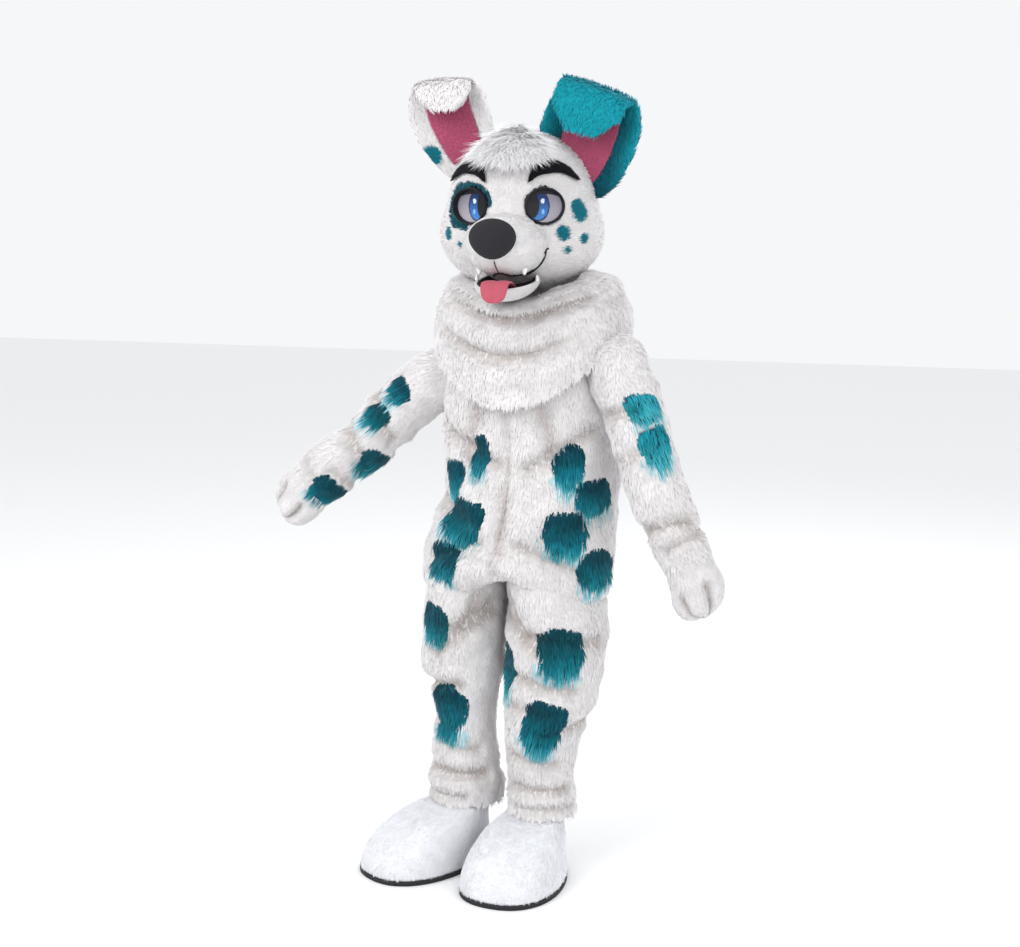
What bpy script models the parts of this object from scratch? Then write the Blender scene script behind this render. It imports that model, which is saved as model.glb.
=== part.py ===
"""Dog mascot costume: a white fur suit with teal spots, hollow head, cowl, gloves and feet.

Sizes are in metres. The costume faces -Y and its own left is +X. The origin is where
the wearer's shoulders hold it up, and heights in the tables are above the floor.
Angles round a form start at its front and grow towards +X.
"""

import math

import bmesh
import bpy
import numpy as np
from mathutils import Vector

# Driving sizes
SHOULDER_HEIGHT = 1.40
SEAM_GAP = 0.0003
FUR_WALL = 0.012
FOOT_WALL = 0.010
HEAD_AT = (-0.027, 0.0)
HEAD_TURN = math.radians(8.0)
HEAD_HUB = (0.0, 0.02, 1.575)
HEAD_DIP = math.radians(16.0)
HEAD_BLEND = 0.012
BELLY_ARCH = 0.045
BELLY_ARCH_RISE = 0.16
BELLY_ARCH_AT = -0.02
BELLY_ARCH_SPREAD = 0.11
UNDERSIDE = 0.06

# Suit body: height, x, y, half width, half depth
TORSO = [
    (1.372, 0.000, 0.010, 0.078, 0.074),
    (1.355, 0.000, 0.010, 0.112, 0.098),
    (1.315, 0.000, 0.008, 0.165, 0.128),
    (1.262, 0.000, 0.005, 0.208, 0.152),
    (1.190, 0.000, 0.000, 0.226, 0.168),
    (1.100, 0.000, 0.000, 0.229, 0.175),
    (1.000, 0.000, 0.000, 0.223, 0.178),
    (0.930, -0.003, -0.002, 0.223, 0.182),
    (0.850, -0.020, -0.005, 0.234, 0.188),
    (0.775, -0.034, -0.006, 0.244, 0.190),
    (0.720, -0.038, -0.006, 0.244, 0.186),
    (0.682, -0.037, -0.004, 0.230, 0.172),
    (0.660, -0.036, -0.002, 0.188, 0.138),
    (0.652, -0.036, 0.000, 0.105, 0.080),
]
# Legs, named by the wearer's side: height, x, y, half width, half depth
LEGS = {
    "right": [
        (0.860, -0.152, 0.000, 0.076, 0.120),
        (0.720, -0.162, -0.002, 0.099, 0.162),
        (0.620, -0.170, -0.005, 0.107, 0.150),
        (0.540, -0.177, -0.010, 0.109, 0.120),
        (0.478, -0.180, -0.010, 0.108, 0.110),
        (0.410, -0.177, 0.000, 0.088, 0.098),
        (0.335, -0.180, 0.000, 0.083, 0.095),
        (0.255, -0.177, -0.004, 0.091, 0.100),
        (0.195, -0.174, -0.010, 0.102, 0.106),
        (0.145, -0.173, -0.012, 0.100, 0.108),
    ],
    "left": [
        (0.860, 0.035, 0.000, 0.082, 0.120),
        (0.720, 0.058, -0.006, 0.113, 0.162),
        (0.620, 0.070, -0.012, 0.128, 0.152),
        (0.540, 0.068, -0.020, 0.129, 0.128),
        (0.460, 0.062, -0.025, 0.123, 0.120),
        (0.400, 0.055, -0.030, 0.115, 0.112),
        (0.335, 0.040, -0.032, 0.101, 0.104),
        (0.255, 0.036, -0.036, 0.090, 0.097),
        (0.195, 0.040, -0.040, 0.090, 0.097),
        (0.145, 0.040, -0.042, 0.093, 0.101),
    ],
}
# Sleeves, from inside the armhole to the wrist: height, x, y, half width, half depth
SLEEVES = {
    "right": [
        (1.235, -0.130, 0.000, 0.045, 0.045),
        (1.228, -0.165, 0.000, 0.066, 0.068),
        (1.205, -0.225, 0.000, 0.084, 0.084),
        (1.155, -0.306, -0.005, 0.080, 0.080),
        (1.068, -0.396, -0.020, 0.078, 0.076),
        (1.020, -0.442, -0.028, 0.073, 0.072),
        (0.990, -0.490, -0.036, 0.078, 0.074),
        (0.955, -0.535, -0.045, 0.079, 0.074),
        (0.925, -0.567, -0.052, 0.070, 0.066),
    ],
    "left": [
        (1.283, 0.125, -0.012, 0.045, 0.045),
        (1.292, 0.160, -0.020, 0.068, 0.068),
        (1.280, 0.200, -0.040, 0.078, 0.078),
        (1.210, 0.250, -0.080, 0.080, 0.079),
        (1.110, 0.302, -0.117, 0.079, 0.076),
        (1.030, 0.330, -0.128, 0.076, 0.074),
        (0.925, 0.367, -0.123, 0.075, 0.072),
        (0.850, 0.400, -0.112, 0.070, 0.068),
        (0.797, 0.421, -0.104, 0.064, 0.062),
    ],
}
# Gloves, from the wrist to the finger tips: height, x, y, half width, half depth
GLOVES = {
    "right": [
        (0.921, -0.571, -0.053, 0.069, 0.064),
        (0.902, -0.591, -0.057, 0.073, 0.058),
        (0.878, -0.617, -0.062, 0.074, 0.048),
        (0.857, -0.639, -0.066, 0.060, 0.039),
        (0.846, -0.651, -0.068, 0.034, 0.022),
    ],
    "left": [
        (0.792, 0.423, -0.103, 0.063, 0.060),
        (0.762, 0.433, -0.099, 0.069, 0.054),
        (0.722, 0.444, -0.093, 0.071, 0.047),
        (0.690, 0.452, -0.088, 0.058, 0.039),
        (0.676, 0.456, -0.086, 0.034, 0.022),
    ],
}
# Creases, each a straight trough over the form, or a ridge where the depth is negative:
# angle and height of one end, angle and height of the other, half width, depth
TORSO_FOLDS = [
    (-62, 1.10, -8, 1.02, 0.018, 0.010),
    (58, 1.10, 12, 1.01, 0.018, 0.010),
    (-75, 0.93, -25, 0.88, 0.020, 0.009),
    (72, 0.90, 28, 0.85, 0.020, 0.008),
    (-50, 0.78, -12, 0.83, 0.018, 0.009),
    (14, 0.83, 58, 0.76, 0.018, 0.009),
    (-4, 0.96, 4, 0.80, 0.014, 0.005),
    (112, 1.08, 168, 1.00, 0.020, 0.010),
    (-112, 1.07, -166, 0.98, 0.020, 0.010),
    (120, 0.90, 165, 0.82, 0.022, 0.009),
    (-122, 0.88, -165, 0.81, 0.022, 0.009),
]
LEG_FOLDS = {
    "right": [
        (-95, 0.445, 15, 0.455, 0.016, 0.014),
        (-20, 0.60, 70, 0.64, 0.020, 0.010),
        (-80, 0.365, 10, 0.345, 0.016, 0.008),
        (-70, 0.235, 60, 0.225, 0.015, 0.013),
        (-100, 0.180, 20, 0.172, 0.011, 0.009),
        (120, 0.42, 220, 0.43, 0.018, 0.012),
        (110, 0.215, 230, 0.225, 0.016, 0.012),
        (150, 0.58, 210, 0.62, 0.020, 0.010),
    ],
    "left": [
        (-10, 0.60, 80, 0.585, 0.020, 0.012),
        (-55, 0.505, 40, 0.475, 0.018, 0.010),
        (15, 0.365, 105, 0.385, 0.016, 0.012),
        (-60, 0.300, 50, 0.285, 0.015, 0.010),
        (-60, 0.225, 75, 0.215, 0.014, 0.012),
        (-30, 0.175, 90, 0.170, 0.010, 0.008),
        (130, 0.43, 230, 0.42, 0.018, 0.012),
        (120, 0.225, 240, 0.215, 0.016, 0.012),
    ],
}
SLEEVE_FOLDS = {
    "right": [
        (-70, 1.110, 60, 1.085, 0.014, 0.010),
        (-60, 1.035, 80, 1.015, 0.013, 0.011),
        (20, 0.975, 120, 0.985, 0.012, 0.008),
        (110, 1.075, 230, 1.060, 0.014, 0.010),
        (-60, 0.948, 70, 0.940, 0.010, 0.007),
    ],
    "left": [
        (-70, 1.165, 20, 1.140, 0.015, 0.010),
        (-80, 0.905, 60, 0.885, 0.015, 0.012),
        (-30, 0.845, 90, 0.855, 0.013, 0.009),
        (-60, 1.060, 30, 1.050, 0.015, 0.007),
        (120, 1.000, 230, 0.980, 0.015, 0.010),
        (110, 0.870, 220, 0.860, 0.013, 0.009),
    ],
}
# Share of a glove's length by which its hollow stops short of the tips
GLOVE_TIP_FILL = 0.04
# Grooves between the fingers run down to the tips
GLOVE_FOLDS = {
    "right": [
        (-32, 0.885, -38, 0.840, 0.008, 0.010),
        (32, 0.885, 38, 0.840, 0.008, 0.010),
        (148, 0.880, 142, 0.840, 0.008, 0.008),
        (212, 0.880, 218, 0.840, 0.008, 0.008),
    ],
    "left": [
        (-32, 0.735, -38, 0.670, 0.008, 0.010),
        (32, 0.735, 38, 0.670, 0.008, 0.010),
        (148, 0.730, 142, 0.670, 0.008, 0.008),
        (212, 0.730, 218, 0.670, 0.008, 0.008),
    ],
}

# Cowl round the neck: share of the way down, reach from the neck to the hem, drop
COWL_PROFILE = [
    (0.00, 0.00, 0.000),
    (0.14, 0.30, 0.015),
    (0.32, 0.64, 0.080),
    (0.52, 0.88, 0.260),
    (0.76, 0.98, 0.600),
    (1.00, 1.00, 1.000),
]
COWL_TOP = 1.462
COWL_TOP_DIP = 0.040
COWL_NECK = (0.134, 0.112)
COWL_HEM = (0.246, 0.205)
COWL_HEM_HEIGHT = 1.305
COWL_FRONT_DROP, COWL_FRONT_POWER = 0.145, 2.0
COWL_BACK_DROP, COWL_BACK_POWER = 0.100, 1.6
# How much of a growth of the cowl's skin goes upwards
COWL_LIFT = 0.5
# Swags: middle angle, half spread, share of the way down, half width, depth
COWL_FOLDS = [
    (10, 55, 0.46, 0.055, 0.014),
    (-8, 48, 0.70, 0.050, 0.012),
    (75, 30, 0.58, 0.060, 0.008),
    (-78, 28, 0.55, 0.060, 0.008),
    (180, 60, 0.55, 0.060, 0.013),
]

# Head forms blended into one skin: middle (side, forward, height), half sizes
HEAD_FORMS = [
    ((0.0, 0.000, 1.614), (0.180, 0.182, 0.184)),
    ((0.0, 0.010, 1.550), (0.201, 0.165, 0.140)),
    ((0.0, 0.180, 1.524), (0.096, 0.125, 0.071)),
]
CAVITY = ((0.0, -0.005, 1.595), (0.152, 0.150, 0.158))
NECK_HOLE = (0.106, 0.098)
NECK_HOLE_TOP = 1.50
NECK_HOLE_BASE = 1.325
NECK_HOLE_BACK = 0.004
EYE_AT = (0.084, 1.610)
EYE_FORWARD = 0.155
EYE_LEAN = math.radians(20.0)
EYE_HALF = (0.047, 0.043)
EYE_RIM = 0.006
EYE_SINK = 0.012
EYE_PLATE = 0.006
RIM_DEPTHS = (0.006, -0.026)
EYE_BORE = (0.06, -0.10)
NOSE = ((0.0, 0.305, 1.540), (0.053, 0.034, 0.045))
JAW = ((0.0, 0.160, 1.449), (0.076, 0.116, 0.050))
JAW_LIP = 0.009
LINING_WALL = 0.006
JAW_TILT = math.radians(9.0)
JAW_TOP = 1.444
# Half width, half length and height of the block that opens the mouth
LIP_BLOCK = (0.2, 0.4, 0.2)
# Fangs: side, forward, height of the root, half width, length
FANGS = {
    "fang_upper": (0.052, 0.215, 1.478, 0.0075, 0.020),
    "fang_lower": (0.0705, 0.165, 1.4436, 0.0042, -0.014),
}
# Share of a fang's length, and of its width there
FANG_TAPER = [(0.0, 1.0), (0.5, 0.72), (1.0, 0.12)]
FANG_POINTS = 8
# Tongue's middle line: forward, height, half width
TONGUE = [
    (0.145, 1.4180, 0.018),
    (0.180, 1.4265, 0.026),
    (0.225, 1.4380, 0.031),
    (0.262, 1.4440, 0.032),
    (0.284, 1.4400, 0.032),
    (0.294, 1.4240, 0.030),
    (0.297, 1.4080, 0.024),
    (0.297, 1.3990, 0.012),
]
TONGUE_HALF = 0.0040

# Eyebrows and forelock lie on the head: sideways angle, climb angle, half height
BROW = [
    (19, 31.0, 1.0), (26, 38.0, 3.8), (38, 41.5, 4.8), (50, 40.5, 4.0), (60, 36.5, 2.8), (67, 31.5, 0.8),
]
BROW_HEIGHT = 0.006
BROW_COLUMNS = 7
# Rows over a raised patch, its flatness, its ends' share of the length, and its root's depth
PATCH_ROWS = 4
PATCH_FLATNESS = 0.9
PATCH_ENDS = (0.06, 0.94)
PATCH_ROOT = 0.006
FORELOCK_HEIGHT = 0.012
FORELOCK_LOCKS = 9
# Half span sideways, then the climb of its lower and upper edges and how far each bends
FORELOCK_SPAN = 38
FORELOCK_LOW, FORELOCK_LOW_BEND = 48, 0.004
FORELOCK_HIGH, FORELOCK_HIGH_BEND = 84, -0.010
FORELOCK_TIP = 7

# Ears' middle lines from root to tip: side, forward, height, half width, cup
EARS = {
    "ear_right": [
        (-0.118, -0.005, 1.705, 0.066, 0.010),
        (-0.148, -0.003, 1.768, 0.090, 0.020),
        (-0.172, 0.000, 1.826, 0.099, 0.024),
        (-0.184, 0.004, 1.876, 0.093, 0.016),
        (-0.186, 0.022, 1.902, 0.074, 0.008),
        (-0.182, 0.044, 1.897, 0.071, 0.006),
        (-0.178, 0.058, 1.868, 0.066, 0.004),
        (-0.176, 0.062, 1.836, 0.036, 0.002),
    ],
    "ear_left": [
        (0.106, -0.005, 1.655, 0.074, 0.010),
        (0.136, -0.003, 1.712, 0.108, 0.022),
        (0.162, 0.000, 1.772, 0.117, 0.030),
        (0.182, 0.004, 1.838, 0.110, 0.024),
        (0.190, 0.024, 1.876, 0.092, 0.012),
        (0.182, 0.052, 1.876, 0.088, 0.008),
        (0.166, 0.070, 1.832, 0.084, 0.006),
        (0.152, 0.076, 1.782, 0.044, 0.002),
    ],
}
# How far each ear's fold tips down on its outer side
EAR_LEANS = {"ear_right": math.radians(4.0), "ear_left": math.radians(20.0)}
EAR_HALF = 0.009
EAR_EDGE_POWER = 0.6
EAR_LINING_SPAN = (0.08, 0.52)
EAR_LINING_SHARE = 0.52
EAR_LINING_WALL = 0.003

# Feet: ankle x, y and the angle that the toes turn out to the wearer's side
FEET = {
    "right": (-0.172, -0.028, -31.0),
    "left": (0.032, -0.048, -4.0),
}
FOOT_MIDDLE = 0.112
FOOT_HALF_LENGTH = 0.176
FOOT_HALF_WIDTH = 0.116
FOOT_TOE_SPREAD = 0.024
FOOT_COLLAR = 0.060
FOOT_HEIGHT = 0.150
FOOT_DOME = 1.9
FOOT_POWER = 0.86
SOLE_THICK = 0.012

# Facets round and along each form
TORSO_GRID = (32, 15)
LEG_GRID = (20, 14)
SLEEVE_GRID = (16, 12)
GLOVE_GRID = (16, 7)
COWL_GRID = (32, 10)
HEAD_GRID = (32, 18)
HEAD_ENDS, HEAD_SPACING = (0.035, 0.975), 1.15
FOOT_GRID = (20, 6)
EGG_GRID = (14, 8)
EGG_ENDS = (0.06, 0.94)
EAR_GRID = (12, 12)
EAR_LINING_GRID = (8, 5)
HOLE_POINTS = 20
TONGUE_GRID = (12, 12)


def make_material(name, colour, roughness, metallic=0.0):
    """A Principled material with a plain colour."""
    material = bpy.data.materials.new(name)
    material.use_nodes = True
    shader = material.node_tree.nodes["Principled BSDF"]
    shader.inputs["Base Color"].default_value = (*colour, 1.0)
    shader.inputs["Roughness"].default_value = roughness
    shader.inputs["Metallic"].default_value = metallic
    material.diffuse_color = (*colour, 1.0)
    return material


# Tables read as smooth curves
def read_curve(rows, samples):
    """Each column after the first, read on a smooth curve at values of the first."""
    table = np.array(rows, float)
    if table[0, 0] > table[-1, 0]:
        table = table[::-1]
    knots, values = table[:, 0], table[:, 1:]
    slopes = np.gradient(values, knots, axis=0)
    samples = np.clip(samples, knots[0], knots[-1])
    at = np.clip(np.searchsorted(knots, samples) - 1, 0, len(knots) - 2)
    span = (knots[at + 1] - knots[at])[:, None]
    t = (samples - knots[at])[:, None] / span
    rise = values[at + 1] - values[at]
    ease = t * t * (3 - 2 * t)
    start, end = t * (1 - t) ** 2 * span, t * t * (t - 1) * span
    return values[at] + rise * ease + slopes[at] * start + slopes[at + 1] * end


def numbered(rows):
    """The same table with each row's distance along the form put before it."""
    table = np.array(rows, float)
    steps = np.linalg.norm(np.diff(table, axis=0), axis=1)
    along = np.concatenate([[0.0], np.cumsum(steps)])
    return np.column_stack([along, table])


def fold_offset(angles, heights, folds, radius):
    """How far creases move the skin out, from each point's distance to each crease."""
    offset = np.zeros(np.broadcast(angles, heights).shape)
    for angle0, height0, angle1, height1, width, depth in folds:
        turn = np.degrees(angles) - angle0
        turn = np.radians((turn + 180) % 360 - 180)
        end = np.array([math.radians(angle1 - angle0) * radius, height1 - height0])
        along = (turn * radius * end[0] + (heights - height0) * end[1]) / end.dot(end)
        along = np.clip(along, 0, 1)
        apart = (turn * radius - along * end[0]) ** 2 + (heights - height0 - along * end[1]) ** 2
        offset -= depth * np.exp(-apart / width ** 2)
    return offset


def round_angles(count):
    """Equal angles round a form."""
    return np.arange(count) * (2 * math.pi / count)


def limb_points(rows, count, steps, grow=0.0, folds=(), axis=(0, 0, -1)):
    """Rings of a tube whose planes all cross one axis, with creases in its skin."""
    table = numbered(rows)
    at = read_curve(table, np.linspace(0, table[-1, 0], steps + 1))
    heights = at[:, 0:1]
    centre = np.column_stack([at[:, 1], at[:, 2], at[:, 0] - SHOULDER_HEIGHT])
    axis = Vector(axis).normalized()
    across = (Vector((1, 0, 0)) - axis * axis.x).normalized()
    front = np.array(axis.cross(across))
    angles = round_angles(count)[None, :]
    offset = grow + fold_offset(angles, heights, folds, float(at[:, 3].mean()))
    sideways = ((at[:, 3:4] + offset) * np.sin(angles))[:, :, None] * np.array(across)
    forward = ((at[:, 4:5] + offset) * np.cos(angles))[:, :, None] * front
    return centre[:, None, :] + sideways + forward


def arm_axis(rows):
    """The straight direction from the armhole to the wrist."""
    first, last = rows[1], rows[-1]
    return (last[1] - first[1], last[2] - first[2], last[0] - first[0])


# Closed meshes
def fill_object(name, points, faces, material=None):
    """A closed mesh object of triangles, with its faces pointing outwards."""
    mesh = bpy.data.meshes.new(name)
    mesh.from_pydata([tuple(map(float, point)) for point in points], [], faces)
    sheet = bmesh.new()
    sheet.from_mesh(mesh)
    bmesh.ops.triangulate(sheet, faces=sheet.faces)
    bmesh.ops.recalc_face_normals(sheet, faces=sheet.faces)
    sheet.to_mesh(mesh)
    sheet.free()
    if material:
        mesh.materials.append(material)
    body = bpy.data.objects.new(name, mesh)
    bpy.context.collection.objects.link(body)
    return body


def ring_faces(rows, count, start=0):
    """Four-sided faces between neighbouring rings."""
    faces = []
    for row in range(rows - 1):
        for column in range(count):
            beside = (column + 1) % count
            here, below = start + row * count, start + (row + 1) * count
            faces.append((here + column, here + beside, below + beside, below + column))
    return faces


def pole_faces(first, count, pole):
    """A fan of triangles from a ring to one point."""
    return [(first + column, first + (column + 1) % count, pole) for column in range(count)]


def rim_faces(outer, inner, count):
    """Triangles between a ring and an inner ring of half as many points."""
    half = count // 2
    faces = []
    for column in range(half):
        left, middle = outer + 2 * column, outer + 2 * column + 1
        right = outer + (2 * column + 2) % count
        near, far = inner + column, inner + (column + 1) % half
        faces += [(left, middle, near), (middle, far, near), (middle, right, far)]
    return faces


def filled_form(name, rings, material=None):
    """A solid of rings with both ends closed by a point."""
    rows, count, _ = rings.shape
    points = list(rings.reshape(-1, 3)) + [rings[0].mean(axis=0), rings[-1].mean(axis=0)]
    faces = ring_faces(rows, count)
    faces += pole_faces(0, count, rows * count)
    faces += pole_faces((rows - 1) * count, count, rows * count + 1)
    return fill_object(name, points, faces, material)


def walled_form(name, outer, inner, material, closed_end=False):
    """A wall between an outer skin and an inner one with half as many points round."""
    rows, count, _ = outer.shape
    inner_rows, half, _ = inner.shape
    start = rows * count
    points = list(outer.reshape(-1, 3)) + list(inner.reshape(-1, 3))
    faces = ring_faces(rows, count) + ring_faces(inner_rows, half, start)
    faces += rim_faces(0, start, count)
    last_outer, last_inner = (rows - 1) * count, start + (inner_rows - 1) * half
    if closed_end:
        points += [outer[-1].mean(axis=0), inner[-1].mean(axis=0)]
        faces += pole_faces(last_outer, count, len(points) - 2)
        faces += pole_faces(last_inner, half, len(points) - 1)
    else:
        faces += rim_faces(last_outer, last_inner, count)
    return fill_object(name, points, faces, material)


def combine(body, tool, operation="DIFFERENCE"):
    """Applies a Boolean with a tool, and removes the tool."""
    cut = body.modifiers.new("cut", "BOOLEAN")
    cut.operation = operation
    cut.solver = "EXACT"
    cut.object = tool
    bpy.context.view_layer.update()
    seen = body.evaluated_get(bpy.context.evaluated_depsgraph_get())
    mesh = bpy.data.meshes.new_from_object(seen)
    body.modifiers.clear()
    body.data = mesh
    bpy.data.objects.remove(tool)
    return body


def box_tool(low, high):
    """A box between two corners."""
    grid = [(x, y, z) for x in (low[0], high[0]) for y in (low[1], high[1]) for z in (low[2], high[2])]
    faces = [(0, 1, 3, 2), (4, 6, 7, 5), (0, 4, 5, 1), (2, 3, 7, 6), (0, 2, 6, 4), (1, 5, 7, 3)]
    return fill_object("tool", grid, faces)


# Suit body
def torso_rings(grow=0.0, thin=1):
    """Rings of the suit body, whose underside arches up between the legs."""
    count, steps = TORSO_GRID
    rings = limb_points(TORSO, count // thin, steps, grow, TORSO_FOLDS)
    low = TORSO[-1][0] - SHOULDER_HEIGHT
    near_hem = np.clip(1 - (rings[:, :, 2] - low) / BELLY_ARCH_RISE, 0, 1)
    middle = np.exp(-((rings[:, :, 0] - BELLY_ARCH_AT) / BELLY_ARCH_SPREAD) ** 2)
    underside = np.clip(1 - (rings[:, :, 2] - low) / UNDERSIDE, 0, 1)
    rings[:, :, 2] += BELLY_ARCH * middle * near_hem - grow * underside
    return rings


def limb_tool(rows, grid, grow, folds, axis, half=False):
    """The solid form of a limb, as a cutting tool."""
    count = grid[0] // 2 if half else grid[0]
    return filled_form("tool", limb_points(rows, count, grid[1], grow, folds, axis))


def build_torso(fur):
    """Two front and two back panels, with armholes and leg holes, parted at the seams."""
    panels = {
        "suit_front_left": ((SEAM_GAP / 2, -1, -1.4), (1, -SEAM_GAP / 2, 1)),
        "suit_front_right": ((-1, -1, -1.4), (-SEAM_GAP / 2, -SEAM_GAP / 2, 1)),
        "suit_back_left": ((SEAM_GAP / 2, SEAM_GAP / 2, -1.4), (1, 1, 1)),
        "suit_back_right": ((-1, SEAM_GAP / 2, -1.4), (-SEAM_GAP / 2, 1, 1)),
    }
    inside = torso_rings(-FUR_WALL, thin=2)
    whole = walled_form("suit", torso_rings(), inside, fur, closed_end=True)
    for side in ("left", "right"):
        sleeve, leg = SLEEVES[side], LEGS[side]
        axis = arm_axis(sleeve)
        combine(whole, limb_tool(sleeve, SLEEVE_GRID, -FUR_WALL, SLEEVE_FOLDS[side], axis, half=True))
        combine(whole, limb_tool(leg, LEG_GRID, -FUR_WALL, LEG_FOLDS[side], (0, 0, -1), half=True))
    for name, (low, high) in panels.items():
        panel = whole.copy()
        panel.data = whole.data.copy()
        panel.name = name
        bpy.context.collection.objects.link(panel)
        combine(panel, box_tool(low, high), "INTERSECT")
    bpy.data.objects.remove(whole)


def build_limb(name, rows, grid, folds, axis, fur):
    """A sleeve or leg: a wall that ends where the suit body starts."""
    outer = limb_points(rows, grid[0], grid[1], 0.0, folds, axis)
    inner = limb_points(rows, grid[0] // 2, grid[1], -FUR_WALL, folds, axis)
    limb = walled_form(name, outer, inner, fur)
    return combine(limb, filled_form("tool", torso_rings(SEAM_GAP)))


def build_sleeves_and_legs(fur):
    """Both sleeves and both legs, the hems resting over the feet."""
    for side in ("left", "right"):
        sleeve = SLEEVES[side]
        build_limb(f"sleeve_{side}", sleeve, SLEEVE_GRID, SLEEVE_FOLDS[side], arm_axis(sleeve), fur)
        leg = build_limb(f"leg_{side}", LEGS[side], LEG_GRID, LEG_FOLDS[side], (0, 0, -1), fur)
        combine(leg, filled_form("tool", foot_rings(side, SEAM_GAP)))


def build_gloves(fur):
    """Hollow gloves, open at the wrist, where each meets its cuff, and closed at the tips."""
    for side, rows in GLOVES.items():
        axis = Vector(arm_axis(SLEEVES[side])).normalized()
        cuff, wrist = SLEEVES[side][-1], rows[0]
        apart = Vector((cuff[1] - wrist[1], cuff[2] - wrist[2], cuff[0] - wrist[0]))
        move = axis * (apart.dot(axis) + SEAM_GAP)
        rows = [(row[0] + move.z, row[1] + move.x, row[2] + move.y, row[3], row[4]) for row in rows]
        outer = limb_points(rows, GLOVE_GRID[0], GLOVE_GRID[1], 0.0, GLOVE_FOLDS[side], axis)
        inner = limb_points(rows, GLOVE_GRID[0] // 2, GLOVE_GRID[1], -FUR_WALL, (), axis)
        inner = inner + (outer[0].mean(axis=0) - outer[-1].mean(axis=0)) * GLOVE_TIP_FILL
        inner[0] += outer[0].mean(axis=0) - inner[0].mean(axis=0)
        walled_form(f"glove_{side}", outer, inner, fur, closed_end=True)


# Feet
def foot_rings(side, grow=0.0, count=FOOT_GRID[0]):
    """Rings of a foot from its ankle collar, over the dome, down to the sole."""
    x, y, turn = FEET[side]
    turn = math.radians(turn)
    angles = round_angles(count)
    sine, cosine = np.sin(angles), np.cos(angles)
    bent = np.sign(sine) * np.abs(sine) ** FOOT_POWER
    plan = np.stack([
        (FOOT_HALF_WIDTH + FOOT_TOE_SPREAD * cosine + grow) * bent,
        FOOT_MIDDLE + (FOOT_HALF_LENGTH + grow) * cosine,
    ])
    collar = np.stack([(FOOT_COLLAR + grow) * sine, (FOOT_COLLAR + grow) * cosine])
    share = np.sin(np.linspace(0, 1, FOOT_GRID[1]) * math.pi / 2)
    drop = (1 - share ** FOOT_DOME) ** (1 / FOOT_DOME)
    base = SOLE_THICK + SEAM_GAP
    rings = []
    for reach, level in zip(share, drop):
        flat = collar * (1 - reach) + plan * reach
        height = base + (FOOT_HEIGHT - base + grow) * level
        rings.append(np.stack([
            x + flat[0] * math.cos(turn) + flat[1] * math.sin(turn),
            y + flat[0] * math.sin(turn) - flat[1] * math.cos(turn),
            np.full(count, height - SHOULDER_HEIGHT),
        ], axis=1))
    return np.array(rings)


def build_feet(fur, rubber):
    """Hollow foot covers, each on a flat sole."""
    for side in FEET:
        outer = foot_rings(side)
        inner = foot_rings(side, -FOOT_WALL, FOOT_GRID[0] // 2)
        inner[-1, :, 2] = outer[-1, :, 2].min()
        inner[0, :, 2] = outer[0, :, 2].min()
        walled_form(f"foot_{side}", outer, inner, fur)
        edge = foot_rings(side)[-1]
        top, bottom = edge.copy(), edge.copy()
        top[:, 2] = SOLE_THICK - SHOULDER_HEIGHT
        bottom[:, 2] = -SHOULDER_HEIGHT
        filled_form(f"sole_{side}", np.array([top, bottom]), rubber)


# Cowl
def cowl_rings(grow=0.0, count=COWL_GRID[0]):
    """Rings from the neck over the shoulders, lower at front and back, with swags."""
    angles = round_angles(count)
    front, back = np.clip(np.cos(angles), 0, 1), np.clip(-np.cos(angles), 0, 1)
    hem = COWL_HEM_HEIGHT - COWL_FRONT_DROP * front ** COWL_FRONT_POWER
    hem = hem - COWL_BACK_DROP * back ** COWL_BACK_POWER
    top = COWL_TOP - COWL_TOP_DIP * front
    lean = np.degrees(angles)[None, :]
    shares = np.linspace(0, 1, COWL_GRID[1] + 1)
    reach, drop = read_curve(COWL_PROFILE, shares).T
    offset = np.full((len(shares), count), grow)
    for middle, spread, level, width, depth in COWL_FOLDS:
        apart = (lean - middle + 180) % 360 - 180
        window = np.exp(-(apart / spread) ** 4)
        offset -= depth * window * np.exp(-((shares[:, None] - level) / width) ** 2)
    half = [
        COWL_NECK[axis] + (COWL_HEM[axis] - COWL_NECK[axis]) * reach[:, None] + offset
        for axis in (0, 1)
    ]
    return np.stack([
        half[0] * np.sin(angles),
        -half[1] * np.cos(angles),
        top + (hem - top) * drop[:, None] - SHOULDER_HEIGHT + grow * COWL_LIFT,
    ], axis=2)


def build_cowl(fur):
    """The draped collar, trimmed to lie round the head, over the body and sleeves."""
    inner = cowl_rings(-FUR_WALL, COWL_GRID[0] // 2)
    inner[1:-1, :, 2] -= FUR_WALL * COWL_LIFT
    cowl = walled_form("cowl", cowl_rings(), inner, fur)
    combine(cowl, head_solid(SEAM_GAP))
    combine(cowl, jaw_form(SEAM_GAP))
    combine(cowl, filled_form("tool", torso_rings(SEAM_GAP)))
    for side, rows in SLEEVES.items():
        combine(cowl, limb_tool(rows, SLEEVE_GRID, SEAM_GAP, SLEEVE_FOLDS[side], arm_axis(rows)))
    return cowl


# Head
def place_on_head(local):
    """Moves points given as side, forward and height to their place on the turned head."""
    local = np.asarray(local, float)
    side, forward, height = local[..., 0], local[..., 1], local[..., 2]
    sine, cosine = math.sin(HEAD_TURN), math.cos(HEAD_TURN)
    return np.stack([
        HEAD_AT[0] + side * cosine + forward * sine,
        HEAD_AT[1] + side * sine - forward * cosine,
        height - SHOULDER_HEIGHT,
    ], axis=-1)


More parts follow.
